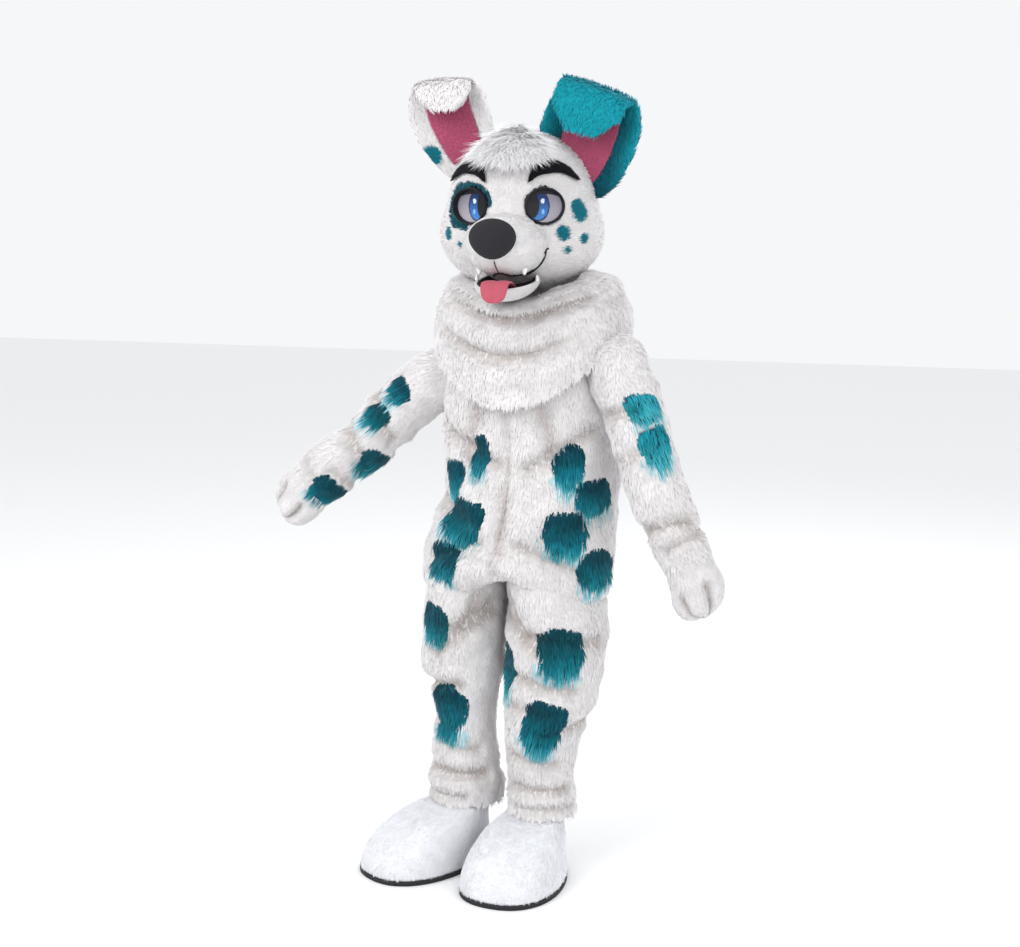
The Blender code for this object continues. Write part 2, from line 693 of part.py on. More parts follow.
def head_reach(direction):
    """Distance from the hub to the skin: the forms' far faces, blended at their meeting."""
    total = np.zeros(direction.shape[:-1])
    for centre, half in HEAD_FORMS:
        start = (np.array(HEAD_HUB) - centre) / half
        ray = direction / np.array(half)
        a, b = (ray * ray).sum(-1), (ray * start).sum(-1)
        inside = b * b - a * (start.dot(start) - 1)
        hit = np.where(inside > 0, (-b + np.sqrt(np.clip(inside, 0, None))) / a, 0)
        total = total + np.exp(np.clip(hit, 0, None) / HEAD_BLEND)
    return HEAD_BLEND * np.log(total)


def head_skin(direction, lift=0.0):
    """Points on the head's skin along directions from its hub, in the head's own frame."""
    direction = direction / np.linalg.norm(direction, axis=-1, keepdims=True)
    return np.array(HEAD_HUB) + direction * (head_reach(direction) + lift)[..., None]


def head_directions(count, steps):
    """Directions in rings round the muzzle's line, from the nose to the back."""
    away = math.pi * np.linspace(*HEAD_ENDS, steps + 1)[:, None] ** HEAD_SPACING
    around = round_angles(count)[None, :]
    side, forward = np.sin(away) * np.sin(around), np.cos(away) * np.ones_like(around)
    up = np.sin(away) * np.cos(around)
    sine, cosine = math.sin(HEAD_DIP), math.cos(HEAD_DIP)
    return np.stack([side, forward * cosine + up * sine, up * cosine - forward * sine], axis=-1)


def head_solid(lift=0.0, name="tool", material=None):
    """The whole head as a filled form."""
    rings = place_on_head(head_skin(head_directions(*HEAD_GRID), lift))
    return filled_form(name, rings, material)


def egg(centre, half, tilt=0.0, name="tool", material=None):
    """An egg shape in the head's own frame, tipped down at its front by a tilt."""
    count, steps = EGG_GRID
    level = np.linspace(*EGG_ENDS, steps)[:, None] * math.pi
    around = round_angles(count)[None, :]
    side = half[0] * np.sin(level) * np.sin(around)
    up = half[2] * np.sin(level) * np.cos(around)
    forward = half[1] * np.cos(level) * np.ones_like(around)
    sine, cosine = math.sin(tilt), math.cos(tilt)
    points = np.stack([
        centre[0] + side,
        centre[1] + forward * cosine + up * sine,
        centre[2] + up * cosine - forward * sine,
    ], axis=-1)
    return filled_form(name, place_on_head(points), material)


def eye_rings(side, half, depths, count=HOLE_POINTS):
    """Oval rings along an eye's line of sight, at depths measured from the skin."""
    sign = 1 if side == "left" else -1
    sight = np.array([sign * math.sin(EYE_LEAN), math.cos(EYE_LEAN), 0.0])
    across = np.array([math.cos(EYE_LEAN), -sign * math.sin(EYE_LEAN), 0.0])
    lift = np.array([0.0, 0.0, 1.0])
    middle = head_skin(np.array([sign * EYE_AT[0], EYE_FORWARD, EYE_AT[1]]) - HEAD_HUB)
    angles = round_angles(count)
    ring = np.outer(np.sin(angles) * half[0], across) + np.outer(np.cos(angles) * half[1], lift)
    return place_on_head(np.array([middle + ring + sight * depth for depth in depths]))


def build_head(fur):
    """The hollow head shell, with a neck hole and two eye holes."""
    head = head_solid(name="head_shell", material=fur)
    combine(head, egg(*CAVITY))
    angles = round_angles(HOLE_POINTS)
    ring = np.stack([
        HEAD_AT[0] + NECK_HOLE[0] * np.sin(angles),
        NECK_HOLE_BACK - NECK_HOLE[1] * np.cos(angles),
        np.zeros(HOLE_POINTS),
    ], axis=1)
    low, high = ring.copy(), ring.copy()
    low[:, 2] = NECK_HOLE_BASE - SHOULDER_HEIGHT
    high[:, 2] = NECK_HOLE_TOP - SHOULDER_HEIGHT
    combine(head, filled_form("tool", np.array([low, high])))
    for side in ("left", "right"):
        combine(head, filled_form("tool", eye_rings(side, EYE_HALF, EYE_BORE)))
    return head


def build_eyes(plastic, rubber):
    """Deep-set eyes: a dark rim in each eye hole, and the eye plate inside it."""
    half = np.array(EYE_HALF) - SEAM_GAP
    bore = half - EYE_RIM
    plate = bore - SEAM_GAP
    for side in ("left", "right"):
        outer = eye_rings(side, half, RIM_DEPTHS)
        inner = eye_rings(side, bore, RIM_DEPTHS, count=HOLE_POINTS // 2)
        walled_form(f"eye_rim_{side}", outer, inner, rubber)
        plate_rings = eye_rings(side, plate, (-EYE_SINK, -EYE_SINK - EYE_PLATE), HOLE_POINTS // 2)
        filled_form(f"eye_{side}", plate_rings, plastic)


def lip_tool():
    """A block above the jaw's lip, tipped down at the front."""
    wide, run, rise = LIP_BLOCK
    slope = math.tan(JAW_TILT)
    local = []
    for side in (-wide, wide):
        for forward in (-run, run):
            lip = JAW_TOP - (forward - JAW[0][1]) * slope
            local += [(side, forward, lip), (side, forward, lip + rise)]
    faces = [(0, 1, 3, 2), (4, 6, 7, 5), (0, 4, 5, 1), (2, 3, 7, 6), (0, 2, 6, 4), (1, 5, 7, 3)]
    return fill_object("tool", place_on_head(local), faces)


def jaw_form(lift=0.0, name="tool", material=None):
    """The lower jaw as a whole egg, before its mouth is cut."""
    return egg(JAW[0], np.array(JAW[1]) + lift, JAW_TILT, name, material)


def build_mouth(fur, dark, pink, white):
    """Lower jaw with its lining, a tongue that hangs over the lip, and four fangs."""
    centre = JAW[0]
    scoop = np.array(JAW[1]) - JAW_LIP
    jaw = jaw_form(0.0, "jaw", fur)
    combine(jaw, egg(centre, scoop, JAW_TILT))
    combine(jaw, lip_tool())
    combine(jaw, head_solid(SEAM_GAP))
    lining = egg(centre, scoop - SEAM_GAP, JAW_TILT, "mouth_lining", dark)
    combine(lining, egg(centre, scoop - LINING_WALL, JAW_TILT))
    combine(lining, lip_tool())
    combine(lining, head_solid(SEAM_GAP))
    table = numbered(TONGUE)
    at = read_curve(table, np.linspace(0, table[-1, 0], TONGUE_GRID[1]))
    slope = np.gradient(at[:, :2], axis=0)
    slope /= np.linalg.norm(slope, axis=1, keepdims=True)
    angles = round_angles(TONGUE_GRID[0])
    wide, thick = np.sin(angles), np.cos(angles) * TONGUE_HALF
    rings = np.stack([
        at[:, 2:3] * wide,
        at[:, 0:1] - slope[:, 1:2] * thick,
        at[:, 1:2] + slope[:, 0:1] * thick,
    ], axis=-1)
    tongue = filled_form("tongue", place_on_head(rings), pink)
    floor = jaw_form(SEAM_GAP)
    combine(floor, egg(centre, scoop - LINING_WALL - SEAM_GAP, JAW_TILT))
    combine(floor, lip_tool())
    combine(tongue, floor)
    for name, (out, forward, root, width, length) in FANGS.items():
        for side, sign in (("left", 1), ("right", -1)):
            angles = round_angles(FANG_POINTS)
            rings = np.array([
                np.stack([
                    sign * out + np.sin(angles) * width * share,
                    forward + np.cos(angles) * width * share,
                    root - length * level - np.cos(angles) * width * share * math.tan(JAW_TILT),
                ], axis=1) for level, share in FANG_TAPER
            ])
            fang = filled_form(f"{name}_{side}", place_on_head(rings), white)
            if name == "fang_upper":
                combine(fang, head_solid(SEAM_GAP))


def skin_patch(name, middle, edge, height, material):
    """A raised patch on the head's skin between two lines of directions, trimmed to it."""
    shares = np.linspace(-1, 1, PATCH_ROWS)[:, None, None]
    lines = middle[None] + edge[None] * shares
    crown = np.sqrt(np.clip(1 - shares[..., 0] ** 2 * PATCH_FLATNESS, 0, 1))
    taper = np.sin(np.linspace(*PATCH_ENDS, middle.shape[0]) * math.pi)[None, :]
    outer = place_on_head(head_skin(lines, height * crown * np.sqrt(taper)))
    inner = place_on_head(head_skin(lines, -PATCH_ROOT))
    rows, count = outer.shape[:2]
    points = np.concatenate([outer.reshape(-1, 3), inner.reshape(-1, 3)])
    under = rows * count
    faces = []
    for row in range(rows - 1):
        for column in range(count - 1):
            a, b = row * count + column, (row + 1) * count + column
            faces.append((a, a + 1, b + 1, b))
            faces.append((under + a, under + b, under + b + 1, under + a + 1))
    border = [column for column in range(count)]
    border += [row * count + count - 1 for row in range(1, rows)]
    border += [(rows - 1) * count + column for column in range(count - 2, -1, -1)]
    border += [row * count for row in range(rows - 2, 0, -1)]
    for here, beside in zip(border, border[1:] + border[:1]):
        faces.append((here, beside, under + beside, under + here))
    patch = fill_object(name, points, faces, material)
    return combine(patch, head_solid(SEAM_GAP))


def aim(turn, climb):
    """Directions from the hub at sideways and climb angles in degrees."""
    turn, climb = np.radians(turn), np.radians(climb)
    return np.stack([np.sin(turn) * np.cos(climb), np.cos(turn) * np.cos(climb), np.sin(climb)], -1)


def build_brows_and_forelock(dark, hair):
    """Two tapered eyebrows, and a tuft of long hair whose lower edge ends in locks."""
    for name, sign in (("brow_left", 1), ("brow_right", -1)):
        table = numbered(BROW)
        at = read_curve(table, np.linspace(0, table[-1, 0], BROW_COLUMNS))
        middle = aim(sign * at[:, 0], at[:, 1])
        edge = aim(sign * at[:, 0], at[:, 1] + at[:, 2]) - middle
        skin_patch(name, middle, edge, BROW_HEIGHT, dark)
    columns = 2 * FORELOCK_LOCKS + 1
    turns = np.linspace(-FORELOCK_SPAN, FORELOCK_SPAN, columns)
    ragged = np.where(np.arange(columns) % 2 == 0, 0.0, 1.0)
    low = FORELOCK_LOW - FORELOCK_TIP * ragged + FORELOCK_LOW_BEND * turns ** 2
    high = FORELOCK_HIGH + FORELOCK_HIGH_BEND * turns ** 2
    middle = (aim(turns, low) + aim(turns, high)) / 2
    edge = (aim(turns, high) - aim(turns, low)) / 2
    skin_patch("forelock", middle, edge, FORELOCK_HEIGHT, hair)


# Ears
def ear_rings(name, around, steps, share=1.0, near=-1.0, far=1.0, span=(0.0, 1.0)):
    """Flat rings of a cupped leaf along its bent middle line.

    share narrows the leaf, and near and far set its two faces in half thicknesses.
    """
    table = numbered(EARS[name])
    at = read_curve(table, np.linspace(span[0], span[1], steps + 1) * table[-1, 0])
    line, width, cup = at[:, :3], at[:, 3:4] * share, at[:, 4:5]
    slope = np.gradient(line, axis=0)
    slope /= np.linalg.norm(slope, axis=1, keepdims=True)
    outer = -1.0 if name == "ear_right" else 1.0
    level = np.array([math.cos(EAR_LEANS[name]), 0.0, -outer * math.sin(EAR_LEANS[name])])
    out = level - slope * (slope @ level)[:, None]
    out /= np.linalg.norm(out, axis=1, keepdims=True)
    facing = np.cross(slope, out)
    facing *= np.sign(facing[0, 1])
    angles = round_angles(around)[None, :]
    wide, face = np.sin(angles), np.cos(angles)
    blend = np.sign(face) * np.abs(face) ** EAR_EDGE_POWER
    thick = EAR_HALF * ((far + near) / 2 + (far - near) / 2 * blend)
    bend = cup * (wide * share) ** 2
    return (
        line[:, None, :]
        + (width * wide)[:, :, None] * out[:, None, :]
        + (thick + bend)[:, :, None] * facing[:, None, :]
    )


def build_ears(white, teal, pink):
    """Two standing ears with tips folded forwards, and the lining inside each."""
    for name in EARS:
        material = teal if name == "ear_left" else white
        ear = filled_form(name, place_on_head(ear_rings(name, *EAR_GRID)), material)
        combine(ear, head_solid(SEAM_GAP))
        near = 1.0 + SEAM_GAP / EAR_HALF
        lining = ear_rings(
            name, *EAR_LINING_GRID, EAR_LINING_SHARE, near, near + 2 * EAR_LINING_WALL / EAR_HALF,
            EAR_LINING_SPAN,
        )
        lining = filled_form(name.replace("ear", "ear_lining"), place_on_head(lining), pink)
        grown = place_on_head(ear_rings(name, *EAR_GRID, near=-near, far=near))
        combine(lining, filled_form("tool", grown))
        combine(lining, head_solid(SEAM_GAP))


def build_costume():
    """Builds every piece of the costume."""
    for old in list(bpy.data.objects):
        bpy.data.objects.remove(old)
    white = make_material("white_fur", (0.80, 0.79, 0.80), 0.95)
    teal = make_material("teal_fur", (0.01, 0.23, 0.29), 0.9)
    pink = make_material("pink_fleece", (0.55, 0.12, 0.22), 0.9)
    dark = make_material("black_fleece", (0.012, 0.012, 0.016), 0.8)
    tongue = make_material("tongue_fleece", (0.62, 0.14, 0.18), 0.8)
    plastic = make_material("eye_plastic", (0.12, 0.25, 0.45), 0.4)
    rubber = make_material("black_foam", (0.015, 0.015, 0.02), 0.7)
    teeth = make_material("white_foam", (0.85, 0.85, 0.82), 0.6)
    smooth_fur = make_material("foot_fleece", (0.78, 0.80, 0.84), 0.95)
    build_torso(white)
    build_sleeves_and_legs(white)
    build_gloves(white)
    build_feet(smooth_fur, rubber)
    build_cowl(white)
    build_head(white)
    build_eyes(plastic, rubber)
    nose = egg(*NOSE, 0.0, "nose", dark)
    combine(nose, head_solid(SEAM_GAP))
    build_mouth(white, dark, tongue, teeth)
    build_brows_and_forelock(dark, white)
    build_ears(white, teal, pink)


build_costume()
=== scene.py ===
"""Looks of the dog mascot costume: furred suit, head, cowl, gloves and feet.

Every form is a function of two parameters worked out with numpy: rings carried down a
middle line, or distances from a hub. Fur is made of small closed locks that stand on a
skin set in from the form by the pile's depth. Lengths are metres, and the tables hold
heights above the floor, which lies FLOOR_DROP below the shoulders.
"""

import logging
import math
from dataclasses import dataclass, field
from enum import Enum
from typing import Protocol

import bpy
import numpy as np
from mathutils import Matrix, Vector
from mathutils.kdtree import KDTree


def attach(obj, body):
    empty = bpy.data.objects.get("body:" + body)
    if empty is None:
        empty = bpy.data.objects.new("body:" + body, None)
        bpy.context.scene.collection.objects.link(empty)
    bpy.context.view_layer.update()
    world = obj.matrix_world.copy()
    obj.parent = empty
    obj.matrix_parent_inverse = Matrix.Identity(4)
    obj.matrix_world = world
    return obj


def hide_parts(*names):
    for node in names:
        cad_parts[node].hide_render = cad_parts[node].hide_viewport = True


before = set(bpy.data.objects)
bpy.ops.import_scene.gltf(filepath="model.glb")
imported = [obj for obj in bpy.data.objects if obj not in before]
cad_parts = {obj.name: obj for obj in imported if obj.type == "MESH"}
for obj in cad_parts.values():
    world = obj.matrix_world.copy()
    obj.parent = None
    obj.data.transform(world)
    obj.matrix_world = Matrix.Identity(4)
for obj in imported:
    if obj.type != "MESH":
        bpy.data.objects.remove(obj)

LOG = logging.getLogger("costume")
FLOOR_DROP = 1.40
SEED = 7
CLOTH = 0.003

Array = np.ndarray
Rows = list[tuple[float, ...]]
Colour = tuple[float, float, float]


class Side(Enum):
    """The wearer's two sides, with the sign of X on each."""

    LEFT = 1
    RIGHT = -1

    @property
    def word(self) -> str:
        """The side's name as the nodes spell it."""
        return self.name.lower()


# Smooth tables and noise


def read_curve(rows: Rows | Array, samples: Array) -> Array:
    """Reads every column after the first on a smooth curve.

    Between two rows a cubic runs with the slopes of their neighbours:
    value = v0 + rise * t^2 (3 - 2t) + slope0 * t (1 - t)^2 * span + slope1 * t^2 (t - 1) * span.

    Args:
        rows: a table whose first column runs up or down.
        samples: values of the first column.

    Returns:
        One row of values for each sample.
    """
    table = np.array(rows, float)
    if table[0, 0] > table[-1, 0]:
        table = table[::-1]
    knots, values = table[:, 0], table[:, 1:]
    slopes = np.gradient(values, knots, axis=0)
    samples = np.clip(samples, knots[0], knots[-1])
    at = np.clip(np.searchsorted(knots, samples) - 1, 0, len(knots) - 2)
    span = (knots[at + 1] - knots[at])[:, None]
    t = (samples - knots[at])[:, None] / span
    ease = t * t * (3 - 2 * t)
    rise = values[at + 1] - values[at]
    first, last = t * (1 - t) ** 2 * span, t * t * (t - 1) * span
    return values[at] + rise * ease + slopes[at] * first + slopes[at + 1] * last


def numbered(rows: Rows | Array) -> Array:
    """Puts each row's distance along the form in front of it."""
    table = np.array(rows, float)
    steps = np.linalg.norm(np.diff(table, axis=0), axis=1)
    return np.column_stack([np.concatenate([[0.0], np.cumsum(steps)]), table])


def evenly(rows: Rows, count: int, span: tuple[float, float] = (0.0, 1.0)) -> Array:
    """Reads a table at even distances along the form.

    Args:
        rows: the table.
        count: how many places.
        span: shares of the form's length at which they start and end.

    Returns:
        One row for each place.
    """
    table = numbered(rows)
    length = table[-1, 0]
    return read_curve(table, np.linspace(span[0] * length, span[1] * length, count))


def unit(vectors: Array) -> Array:
    """Vectors scaled to a length of one."""
    return vectors / np.maximum(np.linalg.norm(vectors, axis=-1, keepdims=True), 1e-9)


def soft_noise(points: Array, scale: float, seed: int) -> Array:
    """Smooth noise from about -1 to 1: the sum of sines that run in random directions.

    Args:
        points: places, in metres.
        scale: the usual distance from crest to crest.
        seed: which noise.

    Returns:
        A value for each point.
    """
    waves, finest, coarsest, peak = 14, 1.5, 0.6, 1.6
    dice = np.random.default_rng(seed)
    lines = unit(dice.normal(size=(waves, 3))) * (2 * math.pi / scale)
    lines *= dice.uniform(coarsest, finest, (waves, 1))
    phases = dice.uniform(0, 2 * math.pi, waves)
    return np.sin(points @ lines.T + phases).sum(-1) / math.sqrt(waves / 2) / peak


def fold_offset(angles: Array, heights: Array, folds: Rows, radius: float) -> Array:
    """How far creases move a skin out.

    Each crease is a straight line over the form: offset = -depth * exp(-(distance / width)^2),
    with the angle counted in metres at the given radius. A fold's row holds the angle and
    height of its start, those of its end, its width and its depth.
    """
    offset = np.zeros(np.broadcast(angles, heights).shape)
    for angle0, height0, angle1, height1, width, depth in folds:
        turn = np.radians((np.degrees(angles) - angle0 + 180) % 360 - 180)
        end = np.array([math.radians(angle1 - angle0) * radius, height1 - height0])
        along = (turn * radius * end[0] + (heights - height0) * end[1]) / end.dot(end)
        along = np.clip(along, 0, 1)
        apart = (turn * radius - along * end[0]) ** 2 + (heights - height0 - along * end[1]) ** 2
        offset = offset - depth * np.exp(-apart / width ** 2)
    return offset


def round_angles(count: int) -> Array:
    """Equal angles round a form."""
    return np.arange(count) * (2 * math.pi / count)


def aim(turn: Array, climb: Array) -> Array:
    """Directions at sideways and climb angles in degrees."""
    turn, climb = np.radians(turn), np.radians(climb)
    return np.stack([np.sin(turn) * np.cos(climb), np.cos(turn) * np.cos(climb), np.sin(climb)], -1)


def oval_share(places: Array, centre: tuple, half: tuple | Array) -> Array:
    """Distance from an egg's or oval's middle, 1 on its edge."""
    return np.linalg.norm((places - np.array(centre)) / np.array(half), axis=-1)



# Colours, as linear values
# The white roots are darker than their tips: painted shade deep in the pile
WHITE_TIP: Colour = (0.85, 0.835, 0.845)
WHITE_ROOT: Colour = (0.70, 0.68, 0.675)
MUZZLE_ROOT: Colour = (0.74, 0.725, 0.725)
FORELOCK_TIP: Colour = (0.93, 0.93, 0.94)
FORELOCK_ROOT: Colour = (0.88, 0.87, 0.88)
TEAL_ROOT: Colour = (0.002, 0.032, 0.050)
TEAL_TIP: Colour = (0.005, 0.125, 0.170)
BRIGHT_TEAL_TIP: Colour = (0.010, 0.420, 0.520)
CYAN_TIP: Colour = (0.160, 0.620, 0.700)
PINK_ROOT: Colour = (0.400, 0.070, 0.140)
PINK_TIP: Colour = (0.640, 0.160, 0.280)
TONGUE_PINK: Colour = (0.46, 0.085, 0.125)
BLACK_ROOT: Colour = (0.004, 0.004, 0.006)
BLACK_TIP: Colour = (0.009, 0.009, 0.014)
RIM_BLACK: Colour = (0.010, 0.010, 0.014)
SOLE_BLACK: Colour = (0.02, 0.02, 0.025)
TOOTH_WHITE: Colour = (0.88, 0.87, 0.83)
FOOT_TIP: Colour = (0.88, 0.89, 0.92)
FOOT_ROOT: Colour = (0.84, 0.85, 0.88)
FLOOR_WHITE: Colour = (0.90, 0.90, 0.90)
# Painted shade in creases: how much of each colour a crease takes away
CREASE_SHADE: Colour = (0.36, 0.40, 0.43)
# The eye's print, with the painted shadow of the upper lid
EYE_WHITE_TOP: Colour = (0.30, 0.28, 0.33)
EYE_WHITE_LOW: Colour = (0.40, 0.38, 0.43)
IRIS_TOP: Colour = (0.006, 0.035, 0.17)
IRIS_LOW: Colour = (0.05, 0.24, 0.66)
IRIS_EDGE: Colour = (0.008, 0.02, 0.08)
PUPIL_BLACK: Colour = (0.004, 0.004, 0.008)
EYE_LIGHT: Colour = (0.75, 0.88, 1.0)
EYE_GLOW: Colour = (0.22, 0.50, 0.90)
# A dark lid line together with the upper lid's painted shadow
LID_LINE_AND_SHADOW: Colour = (0.006, 0.006, 0.010)


def add_node(nodes: bpy.types.Nodes, kind: str, **values: float) -> bpy.types.Node:
    """Adds a shader node and sets its inputs, whose names have _ in place of spaces."""
    node = nodes.new(f"ShaderNode{kind}")
    for socket, value in values.items():
        node.inputs[socket.replace("_", " ")].default_value = value
    return node


@dataclass(frozen=True)
class Finish:
    """A cloth or foam finish: one Principled material with its colour on an attribute.

    Its bump and its mottled shade are noises on Object coordinates, so that they don't
    slide when a piece is exported. The mottle's patches are patch_size grains wide.
    """

    name: str
    roughness: float = 0.9
    sheen: float = 0.25
    grain: float = 900.0
    bump: float = 0.25
    mottle: float = 0.12
    coat: float = 0.0
    specular: float = 0.25
    patch_size: float = 14.0
    bump_height: float = 0.002

    def material(self) -> bpy.types.Material:
        """Builds the material once, and returns it again later."""
        made = bpy.data.materials.get(self.name)
        if made:
            return made
        made = bpy.data.materials.new(self.name)
        made.use_nodes = True
        nodes, links = made.node_tree.nodes, made.node_tree.links
        shader = nodes["Principled BSDF"]
        for socket, value in (
            ("Roughness", self.roughness),
            ("Sheen Weight", self.sheen),
            ("Sheen Roughness", 0.5),
            ("Coat Weight", self.coat),
            ("Specular IOR Level", self.specular),
        ):
            shader.inputs[socket].default_value = value
        tint = add_node(nodes, "Attribute")
        tint.attribute_name = "tint"
        place = add_node(nodes, "TexCoord")
        grain = add_node(nodes, "TexNoise", Scale=self.grain, Detail=3.0)
        patch = add_node(nodes, "TexNoise", Scale=self.grain / self.patch_size, Detail=4.0)
        ramp = add_node(nodes, "MapRange", To_Min=1.0 - self.mottle, To_Max=1.0 + self.mottle)
        shade = add_node(nodes, "VectorMath")
        shade.operation = "SCALE"
        bump = add_node(nodes, "Bump", Strength=self.bump, Distance=self.bump_height)
        for source, output, target, socket in (
            (place, "Object", grain, "Vector"),
            (place, "Object", patch, "Vector"),
            (patch, "Fac", ramp, "Value"),
            (tint, "Color", shade, "Vector"),
            (ramp, "Result", shade, "Scale"),
            (shade, "Vector", shader, "Base Color"),
            (grain, "Fac", bump, "Height"),
            (bump, "Normal", shader, "Normal"),
        ):
            links.new(source.outputs[output], target.inputs[socket])
        return made


PILE = Finish("pile_locks", roughness=0.9, sheen=0.1, bump=0.0, mottle=0.03, specular=0.1)
BACKING = Finish("pile_backing", roughness=0.95, sheen=0.2, grain=700, bump=0.5, mottle=0.10)
FLEECE = Finish("short_fleece", roughness=0.95, sheen=0.3, grain=1400, bump=0.6, mottle=0.18)
BLACK_FLEECE = Finish("black_fleece", roughness=0.8, sheen=0.0, grain=1100, bump=0.6, mottle=0.25)
MOUTH = Finish("mouth_cloth", roughness=0.7, sheen=0.1, grain=1200, bump=0.35, mottle=0.12)
EYE_MESH = Finish("eye_mesh", roughness=0.5, sheen=0.0, grain=2600, bump=0.15, mottle=0.10,
                  coat=0.08, specular=0.3)
FOAM = Finish("foam_edge", roughness=0.6, sheen=0.0, grain=1600, bump=0.3, mottle=0.2)
TOOTH = Finish("tooth_foam", roughness=0.5, sheen=0.0, grain=900, bump=0.2, mottle=0.06)
RUBBER = Finish("sole_rubber", roughness=0.7, sheen=0.0, grain=500, bump=0.4, mottle=0.2)


# Meshes


def make_mesh(name: str, points: Array, faces: Array | list, finish: Finish,
              tint: Array | Colour) -> bpy.types.Object:
    """Makes one object from whole arrays, with a colour for each point.

    Args:
        name: the piece's name.
        points: places of the points.
        faces: an array of triangles or quads, or a list that mixes them.
        finish: the material.
        tint: one linear colour, or one for each point.

    Returns:
        The object, at the origin.
    """
    mesh = bpy.data.meshes.new(name)
    points = np.ascontiguousarray(points, np.float32)
    if isinstance(faces, np.ndarray):
        count, corners = faces.shape
        mesh.vertices.add(len(points))
        mesh.vertices.foreach_set("co", points.ravel())
        mesh.loops.add(count * corners)
        mesh.loops.foreach_set("vertex_index", faces.astype(np.int32).ravel())
        mesh.polygons.add(count)
        starts = np.arange(0, count * corners, corners, dtype=np.int32)
        mesh.polygons.foreach_set("loop_start", starts)
        mesh.update(calc_edges=True)
    else:
        mesh.from_pydata([tuple(map(float, point)) for point in points], [], faces)
    mesh.validate()
    colour = np.ones((len(mesh.vertices), 4), np.float32)
    colour[:, :3] = tint
    layer = mesh.attributes.new("tint", "FLOAT_COLOR", "POINT")
    layer.data.foreach_set("color", colour.ravel())
    mesh.shade_smooth()
    mesh.materials.append(finish.material())
    piece = bpy.data.objects.new(name, mesh)
    bpy.context.scene.collection.objects.link(piece)
    return piece


def grid_quads(rows: int, count: int, closed: bool = True) -> Array:
    """Quads between the rings of a grid, whose columns run right round if it is closed."""
    columns = np.arange(count if closed else count - 1)
    row = np.arange(rows - 1)[:, None]
    here = row * count + columns
    beside = row * count + (columns + 1) % count
    return np.stack([here, here + count, beside + count, beside], -1).reshape(-1, 4)


def capped(rings: Array, first: bool = True, last: bool = True) -> tuple[Array, list]:
    """Points and faces of a closed form: rings, with a fan of triangles at each end."""
    rows, count, _ = rings.shape
    points = [rings.reshape(-1, 3)]
    faces = [tuple(face) for face in grid_quads(rows, count)]
    total = rows * count
    for wanted, row, turn in ((first, 0, 1), (last, rows - 1, -1)):
        if not wanted:
            continue
        points.append(rings[row].mean(0)[None])
        for column in range(count):
            pair = (row * count + column, row * count + (column + 1) % count)
            faces.append((*pair[::turn], total))
        total += 1
    return np.concatenate(points), faces


def without(points: Array, faces: list, gone: Array) -> tuple[Array, list, Array]:
    """Points and faces less the faces that touch a point marked as gone, and what is kept."""
    faces = [face for face in faces if not gone[list(face)].any()]
    kept = np.zeros(len(points), bool)
    kept[[corner for face in faces for corner in face]] = True
    order = np.cumsum(kept) - 1
    return points[kept], [tuple(order[list(face)].tolist()) for face in faces], kept


def wall(outer: Array, depth: float) -> tuple[Array, Array]:
    """Points and quads of a thin closed wall under a skin that is open at both ends.

    The inner skin is the outer one moved against its normals by depth, and a rim joins
    the two at each end.
    """
    rows, count, _ = outer.shape
    inner = outer - grid_normals(outer) * depth
    points = np.concatenate([outer.reshape(-1, 3), inner.reshape(-1, 3)])
    under = rows * count
    skin = grid_quads(rows, count)
    column = np.arange(count)
    beside = (column + 1) % count
    last_row = (rows - 1) * count
    top = np.stack([column, beside, under + beside, under + column], -1)
    bottom = np.stack([beside, column, under + column, under + beside], -1) + last_row
    return points, np.concatenate([skin, skin[:, ::-1] + under, top, bottom])


def grid_normals(rings: Array, closed: bool = True) -> Array:
    """Normals of a grid: the cross product of its two directions, pointing outwards."""
    down = np.gradient(rings, axis=0)
    if closed:
        around = np.roll(rings, -1, 1) - np.roll(rings, 1, 1)
    else:
        around = np.gradient(rings, axis=1)
    return unit(np.cross(down, around))


def facing_out(rings: Array, centre: Array | None = None) -> Array:
    """The same grid, with its columns turned round if its normals point inwards.

    Args:
        rings: the grid.
        centre: a point behind the skin, or None where each ring's own middle is behind it.
    """
    behind = rings.mean(1, keepdims=True) if centre is None else centre
    turned = (grid_normals(rings) * (rings - behind)).sum(-1).mean() < 0
    return rings[:, ::-1] if turned else rings


def rippled(rings: Array, scales: tuple[float, float], seed: int, height: float) -> Array:
    """Moves a skin out and in by a wide soft noise and half as much of a finer one."""
    flat = rings.reshape(-1, 3)
    ripple = soft_noise(flat, scales[0], seed) + 0.5 * soft_noise(flat, scales[1], seed + 1)
    return rings + grid_normals(rings) * (ripple.reshape(rings.shape[:2]) * height)[:, :, None]


def finish_piece(piece: bpy.types.Object, slot: str, *nodes: str) -> bpy.types.Object:
    """Makes a piece ride on the costume and hides the nodes it stands for."""
    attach(piece, "root")
    if nodes:
        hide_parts(*nodes)
    LOG.info("%s: %d points", piece.name, len(piece.data.vertices))
    return piece


def add_piece(name: str, mesh: tuple[Array, Array | list], finish: Finish, tint: Array | Colour,
              slot: str, *nodes: str, depth: float = 0.0) -> bpy.types.Object:
    """Makes a piece and hides the solids that it stands for.

    Args:
        name: the piece's name.
        mesh: its points and faces.
        finish: its material.
        tint: one linear colour, or one for each point.
        slot: the record's material slot; not used.
        nodes: the solids that it stands for.
        depth: how thick it gets on its inner side, if it is an open skin.

    Returns:
        The piece.
    """
    piece = make_mesh(name, *mesh, finish, tint)
    if depth:
        layer = piece.modifiers.new("thickness", "SOLIDIFY")
        layer.thickness, layer.offset = depth, -1.0
    return finish_piece(piece, slot, *nodes)


# Forms: each gives its skin as a grid, and tells how deep a point lies inside it


class Cover(Protocol):
    """A form that other pieces can lie inside or under."""

    def depth(self, points: Array) -> Array:
        """How far inside the form each point lies, and below zero outside."""


